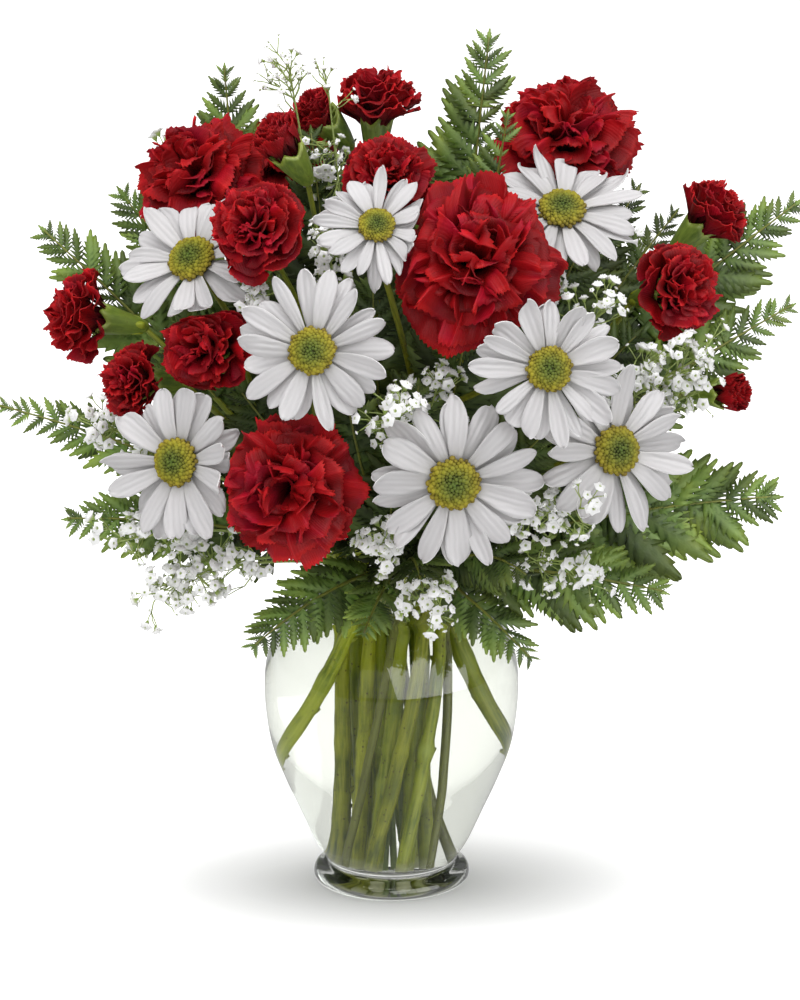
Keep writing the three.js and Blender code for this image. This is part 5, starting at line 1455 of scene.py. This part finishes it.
def fern_bunch(side, tree, leaflet):
    """The fronds of one side on their common stalk, with the fronds that fill it."""
    slot, fronds = FERNS[side]
    start, low, _ = stem_in_vase("outer", slot)
    rng = np.random.default_rng(40 + slot % 97)
    shape, leaves = Shape(), Sprigs()
    tube(shape, np.concatenate([stalk_in_vase(low, start), [start]]), 1.7, 10, (0, 0.5, 0, 1))
    for i, (tip, _, half, blade, facing) in enumerate(fronds):
        path = flowing(ROUTE[f"fern_{side}_{i}"].points, 3)
        if tip[2] < RIM_TOP:
            half, blade = half * 0.6, blade * 1.1
        frond(shape, leaves, path, half, min(0.8, blade * 1.25), facing, rng, 26)
    for tip, via, half, facing in FILLING[side]:
        path = flowing(even_points([start, np.array(via, float), np.array(tip, float)], 4), 3)
        # the filling fronds, in the heart, are painted darker, as painted shade
        frond(shape, leaves, path, half, 0.66, facing, rng, 24, 0.45)
    raw = bearing(shape, f"fern_{side}_ribs", FERN_STALK, leaves)
    return grown(f"fern_{side}_fronds", raw, tree, {
        "Sprig": leaflet, "Sprig size": MM, "Finish": FERN})


def breath_floret():
    """A small double floret of unit width, facing +Y: a green cup, five frilled
    outer petals, and a raised inner tuft round a dark eye."""
    sides = 10
    turn = np.arange(sides) * 2 * math.pi / sides
    petal = np.arange(sides) % 2
    rings = []
    tones = []
    for out, gap, high, dip, skew, white in (
            (0.05, 0.05, -0.42, 0, 0, 0.0), (0.17, 0.17, -0.2, 0, 0, 0.0),
            (0.24, 0.2, -0.05, 0.02, 0, 0.35), (0.54, 0.42, 0.1, 0.06, 0, 0.95),
            (0.5, 0.38, 0.15, 0.06, 0.1, 1.0), (0.26, 0.32, 0.12, -0.1, 0.3, 0.85),
            (0.18, 0.22, 0.24, -0.12, 0.3, 1.0), (0.05, 0.05, 0.1, 0, 0.3, 0.0)):
        r = np.where(petal, gap, out)
        a = turn + skew
        rings.append(np.stack([r * np.sin(a), high - dip * petal, r * np.cos(a)], axis=-1))
        tones.append(np.tile([white, 0, 0, 1.0], (sides, 1)))
    shape = Shape()
    rings_closed(shape, np.array(rings) / MM, np.array(tones), (0, 0, 0))
    return shape.make("breath_floret", [FLORET])


def breath_bunch(side, tree, floret):
    """The sprays of one side on their common stalk. Twigs leave each stalk at random
    and fork, and one that would run into a bloom is left out."""
    slot, sprays = BABYS_BREATH[side]
    start, low, _ = stem_in_vase("inner", slot)
    rng = np.random.default_rng(70 + slot % 89)
    shape, florets = Shape(), Sprigs()
    tube(shape, np.concatenate([stalk_in_vase(low, start), [start]]), 1.2, 8, (0, 0.5, 0, 1))

    def bear(end, way, size):
        florets.bear(end, way, unit(np.cross(way, rng.normal(0, 1, 3))), size)

    def twig(a, b, radius, bend):
        middle = (a + b) / 2 + rng.normal(0, bend, 3)
        tube(shape, flowing(np.array([a, middle, b]), 4), radius, 5, (0.2, 0.6, 0, 1))

    routes = [(ROUTE[f"babys_breath_{side}_{i}"].points, row[2]) for i, row in enumerate(sprays)]
    for tip, via, spread in BREATH_FILLING[side]:
        points = even_points([start, np.array(via, float), np.array(tip, float)], 4)
        routes.append((points, spread))
    for points, spread in routes:
        path = flowing(points, 4)
        run = lengths_along(path)
        tube(shape, path, np.linspace(1.0, 0.4, len(path)), 6, (0.2, 0.6, 0, 1))
        along = unit(np.gradient(path, axis=0))
        bear(path[-1] + along[-1] * 2, along[-1], 5.2)
        branches = 0
        for _ in range(200):
            if branches >= TWIGS_PER_SPRAY:
                break
            j = int(np.argmin(np.abs(run - (run[-1] - rng.uniform(0.02, 2.1) * spread))))
            way = unit(along[j] * rng.uniform(0.3, 1.0) + rng.normal(0, 0.75, 3))
            reach = spread * rng.uniform(0.35, 0.85)
            knee = path[j] + way * reach * 0.55 + along[j] * reach * 0.1
            ends = []
            for _ in range(int(rng.integers(2, 5))):
                onward = unit(way + rng.normal(0, 0.5, 3) + [0, 0, 0.15])
                end = knee + onward * reach * rng.uniform(0.3, 0.6)
                if clear_of_heads(np.array([knee, end]), 1.5) and not hides_a_bud(end):
                    ends.append((end, onward))
            if not ends:
                continue
            branches += 1
            twig(path[j], knee, 0.34, 0.4)
            for end, onward in ends:
                twig(knee, end, 0.24, 0.35)
                sizes = FLORET_SIZES if end[2] < TOP_FROM else TOP_FLORET_SIZES
                bear(end + onward * 1.4, onward, rng.choice(sizes))
    raw = bearing(shape, f"breath_{side}_stalks", FINE_STALK, florets)
    return grown(f"babys_breath_{side}_sprays", raw, tree, {
        "Sprig": floret, "Sprig size": MM, "Finish": FLORET})


# ---------------------------------------------------------------- vase, water

GLASS_SIDES = 112


def vase_outline(depth, step=1.6):
    """The body's outer curve, moved in by a depth."""
    path = flowing(np.array([(r, 0, z) for r, z in VASE_BODY], float), step)
    along = unit(np.gradient(path, axis=0))
    return np.stack([path[:, 0] - along[:, 2] * depth, path[:, 2] + along[:, 0] * depth], axis=-1)


def vase_glass():
    outer, inner = vase_outline(0), vase_outline(VASE_WALL)
    foot = [(0, 0.9), (24, 0.9), (27, 0), (33.6, 0), (35.4, 0.5), (36.5, 1.5), (36.9, 3.0),
            (36.7, 4.8), (35.9, 6.4), (34.3, 7.6), (32.2, 8.4), (30.7, 9.4)]
    lip_middle = (outer[-1] + inner[-1]) / 2
    across = (inner[-1] - outer[-1]) / 2
    up = np.array([-across[1], across[0]])
    up = up if up[1] > 0 else -up
    lip = [lip_middle - across * math.cos(a) + up * math.sin(a)
           for a in np.linspace(0.3, math.pi - 0.3, 6)]
    floor = [(inner[0][0] - d, inner[0][1] - h) for d, h in ((1.2, 0.6), (3.5, 1.0), (12, 1.2))]
    profile = foot + list(outer) + lip + list(inner[::-1]) + floor + [(0, inner[0][1] - 1.2)]
    shape = Shape()
    lathe(shape, profile, GLASS_SIDES)
    wall_from = len(foot) + len(outer) + len(lip) - 1
    wet = [i >= wall_from and profile[i + 1][1] < WATER_LEVEL for i in range(len(profile) - 3)]
    wet = np.repeat(wet + [False, True], GLASS_SIDES)
    shape.materials[0] = wet.astype(int)
    return shape.make("vase_clear_glass", [GLASS, WET_GLASS])


def vase_water():
    """The water reaches a little way into the glass, so that no air shows between."""
    inner = vase_outline(VASE_WALL - 0.12)
    wet = [p for p in inner if p[1] < WATER_LEVEL - 1.5]
    reach = [p[0] for p in inner if p[1] < WATER_LEVEL + 0.9][-1]
    low = inner[0][1] - 1.3
    bottom = [(0, low), (wet[0][0] - 12, low), (wet[0][0] - 3.5, low + 0.2)]
    surface = [(reach - inward, WATER_LEVEL + rise)
               for inward, rise in ((0, 0.9), (1.2, 0.25), (3, 0), (reach, 0))]
    shape = Shape()
    lathe(shape, bottom + wet + surface, GLASS_SIDES)
    return shape.make("vase_clear_water", [WATER])


# ---------------------------------------------------------------- put together


def hand_over(piece, node):
    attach(piece, "root")
    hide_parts(node)


for name in CARNATIONS:
    hand_over(carnation_petals(HEADS[name], PETAL), name)
    hand_over(carnation_stem(name), stem_node(name))
for name in SPRAY_CARNATIONS:
    hand_over(carnation_petals(HEADS[name], MINI_PETAL), name)
for number, row in SPRAY_STEMS.items():
    piece = branching_stem("spray_carnation", number, row, SPRAY_CARNATIONS, calyx_of,
                           STEM_RADIUS["spray_main"], STEM_RADIUS["spray_branch"], CARNATION_GREENS)
    hand_over(piece, f"spray_carnation_stem_{number}")
for number, row in DAISY_STEMS.items():
    piece = branching_stem("daisy", number, row, DAISIES, daisy_cup_of,
                           STEM_RADIUS["daisy_main"], STEM_RADIUS["daisy_branch"], [DAISY_STEM])
    hand_over(piece, f"daisy_stem_{number}")

spiral, bud = spiral_tree(), floret_bud()
for name in DAISIES:
    hand_over(daisy_rays(HEADS[name]), name + "_rays")
    hand_over(daisy_disc(HEADS[name], spiral, bud), name + "_disc")
leaves, leaflet = sprig_tree("leaflets_on_fronds"), fern_leaflet()
for side in FERNS:
    hand_over(fern_bunch(side, leaves, leaflet), f"fern_fronds_{side}")
clouds, floret = sprig_tree("florets_on_sprays"), breath_floret()
for side in BABYS_BREATH:
    hand_over(breath_bunch(side, clouds, floret), f"babys_breath_{side}")
for sample in (bud, leaflet, floret):
    bpy.data.objects.remove(sample)
hand_over(vase_glass(), "vase")
hand_over(vase_water(), "water")

# ---------------------------------------------------------------- studio

LOOK_DOWN = 15.35
LENS = 136.9
# strength of the floor's painted glow
GLOW = 0.6


def mirrored(tree):
    """1 for what is seen in a shine, on or inside the glass, else 0."""
    depth = add_node(tree, "ShaderNodeLightPath").outputs["Glossy Depth"]
    return add_node(tree, "ShaderNodeMath", {0: depth, 1: 1.0}, operation="MINIMUM")


# Opal acrylic: white and matt. It glows, as painted light, not at all next to the
# vase and more and more in an oval round it, so that only its soft shadow under the
# vase stays grey, and light that bounces off it doesn't see the glow. A shine
# shows it as a plain painted grey reflection.
table, tree = new_material("studio_table_opal_acrylic")
place = add_node(tree, "ShaderNodeTexCoord").outputs["Object"]
cloud = add_node(tree, "ShaderNodeTexNoise", {"Vector": place, "Scale": 3})
opal = add_node(tree, "ShaderNodeValToRGB", {"Fac": cloud}, [(0.3, "e6e6e6"), (0.7, "e9e9e9")])
oval = add_node(tree, "ShaderNodeMapping", {
    "Vector": place, "Scale": (2, 3.8, 2), "Location": (0, 0.045, 0)})
away = add_node(tree, "ShaderNodeVectorMath", {0: oval}, operation="LENGTH").outputs["Value"]
# painted light: the floor's glow, none next to the vase and full further out
glow = add_node(tree, "ShaderNodeValToRGB", {"Fac": away}, [
    (0.0, "000000"), (0.06, "000000"), (0.12, "808080"), (0.19, "b8b8b8"), (0.26, "e6e6e6"),
    (0.34, "ffffff")])
bounced = add_node(tree, "ShaderNodeLightPath").outputs["Is Diffuse Ray"]
seen = add_node(tree, "ShaderNodeMath", {0: GLOW, 1: bounced}, operation="SUBTRACT", use_clamp=True)
lit = add_node(tree, "ShaderNodeMath", {0: glow, 1: seen}, operation="MULTIPLY")
top = add_node(tree, "ShaderNodeBsdfPrincipled", {
    "Base Color": opal, "Roughness": 0.9, "Specular IOR Level": 0.1,
    "Emission Color": linear("ffffff"), "Emission Strength": lit})
# painted reflection: a plain grey that shines show in place of the floor
painted_grey_reflection = add_node(tree, "ShaderNodeEmission", {"Color": linear("c8c8c8")})
either = add_node(tree, "ShaderNodeMixShader", {0: mirrored(tree), 1: top, 2: painted_grey_reflection})
add_node(tree, "ShaderNodeOutputMaterial", {"Surface": either})
plane = bpy.data.meshes.new("studio_floor")
plane.from_pydata([(x, y, -0.0004) for x, y in ((-9, -5), (9, -5), (9, 13), (-9, 13))], [],
                  [(0, 1, 2, 3)])
plane.materials.append(table)
floor = new_object("studio_floor", plane)


def soft_box(name, place, aim, size, power):
    light = bpy.data.lights.new(name, "AREA")
    light.shape = "RECTANGLE"
    light.size, light.size_y = size
    light.energy = power
    made = new_object(name, light)
    made.location = place
    way = np.array(aim) - place
    tilt = math.acos(-way[2] / np.linalg.norm(way))
    made.rotation_euler = (tilt, 0, math.atan2(way[1], way[0]) - math.pi / 2)
    return made


soft_box("overhead_softbox", (-0.15, -0.45, 2.1), (0, 0, 0.25), (1.8, 1.4), 27)
soft_box("front_fill_softbox", (-0.5, -2.3, 0.9), (0, 0, 0.25), (1.6, 1.4), 4)
front_box = soft_box("front_right_softbox", (1.0, -1.25, 0.85), (0, 0, 0.15), (2.5, 1.5), 50)
front_box.visible_diffuse = False
front_box.visible_camera = False

# The walls are white. What shines back off glass and leaves is a darker room, and
# the glass bends dark flags at the sides into its edges.
world = bpy.data.worlds.new("white_studio")
world.use_nodes = True
sky = world.node_tree
sky.nodes.clear()
way = add_node(sky, "ShaderNodeTexCoord").outputs["Generated"]
sideways = add_node(sky, "ShaderNodeSeparateXYZ", {"Vector": way}).outputs["X"]
sideways = add_node(sky, "ShaderNodeMath", {0: sideways}, operation="ABSOLUTE")
flags = add_node(sky, "ShaderNodeValToRGB", {"Fac": sideways}, [
    (0.0, "ffffff"), (0.72, "ffffff"), (0.94, "b4b4b4"), (1.0, "808080")])
ray = add_node(sky, "ShaderNodeLightPath").outputs
room = linear("ffffff")
for share, view in ((ray["Is Transmission Ray"], flags), (ray["Is Diffuse Ray"], linear("e4e4e4")),
                    (mirrored(sky), linear("606060"))):
    room = add_node(sky, "ShaderNodeMix", {0: share, 6: room, 7: view}, data_type="RGBA").outputs[2]
walls = add_node(sky, "ShaderNodeBackground", {"Color": room, "Strength": 1.08})
add_node(sky, "ShaderNodeOutputWorld", {"Surface": walls})
bpy.context.scene.world = world
bpy.context.scene.view_settings.view_transform = "Standard"

lens = bpy.data.cameras.new("photo_view")
lens.lens = LENS
lens.sensor_width = 36
camera = new_object("photo_view", lens)
camera.location = EYE * MM
camera.rotation_euler = (math.radians(90 - LOOK_DOWN), 0, 0)
bpy.context.scene.camera = camera
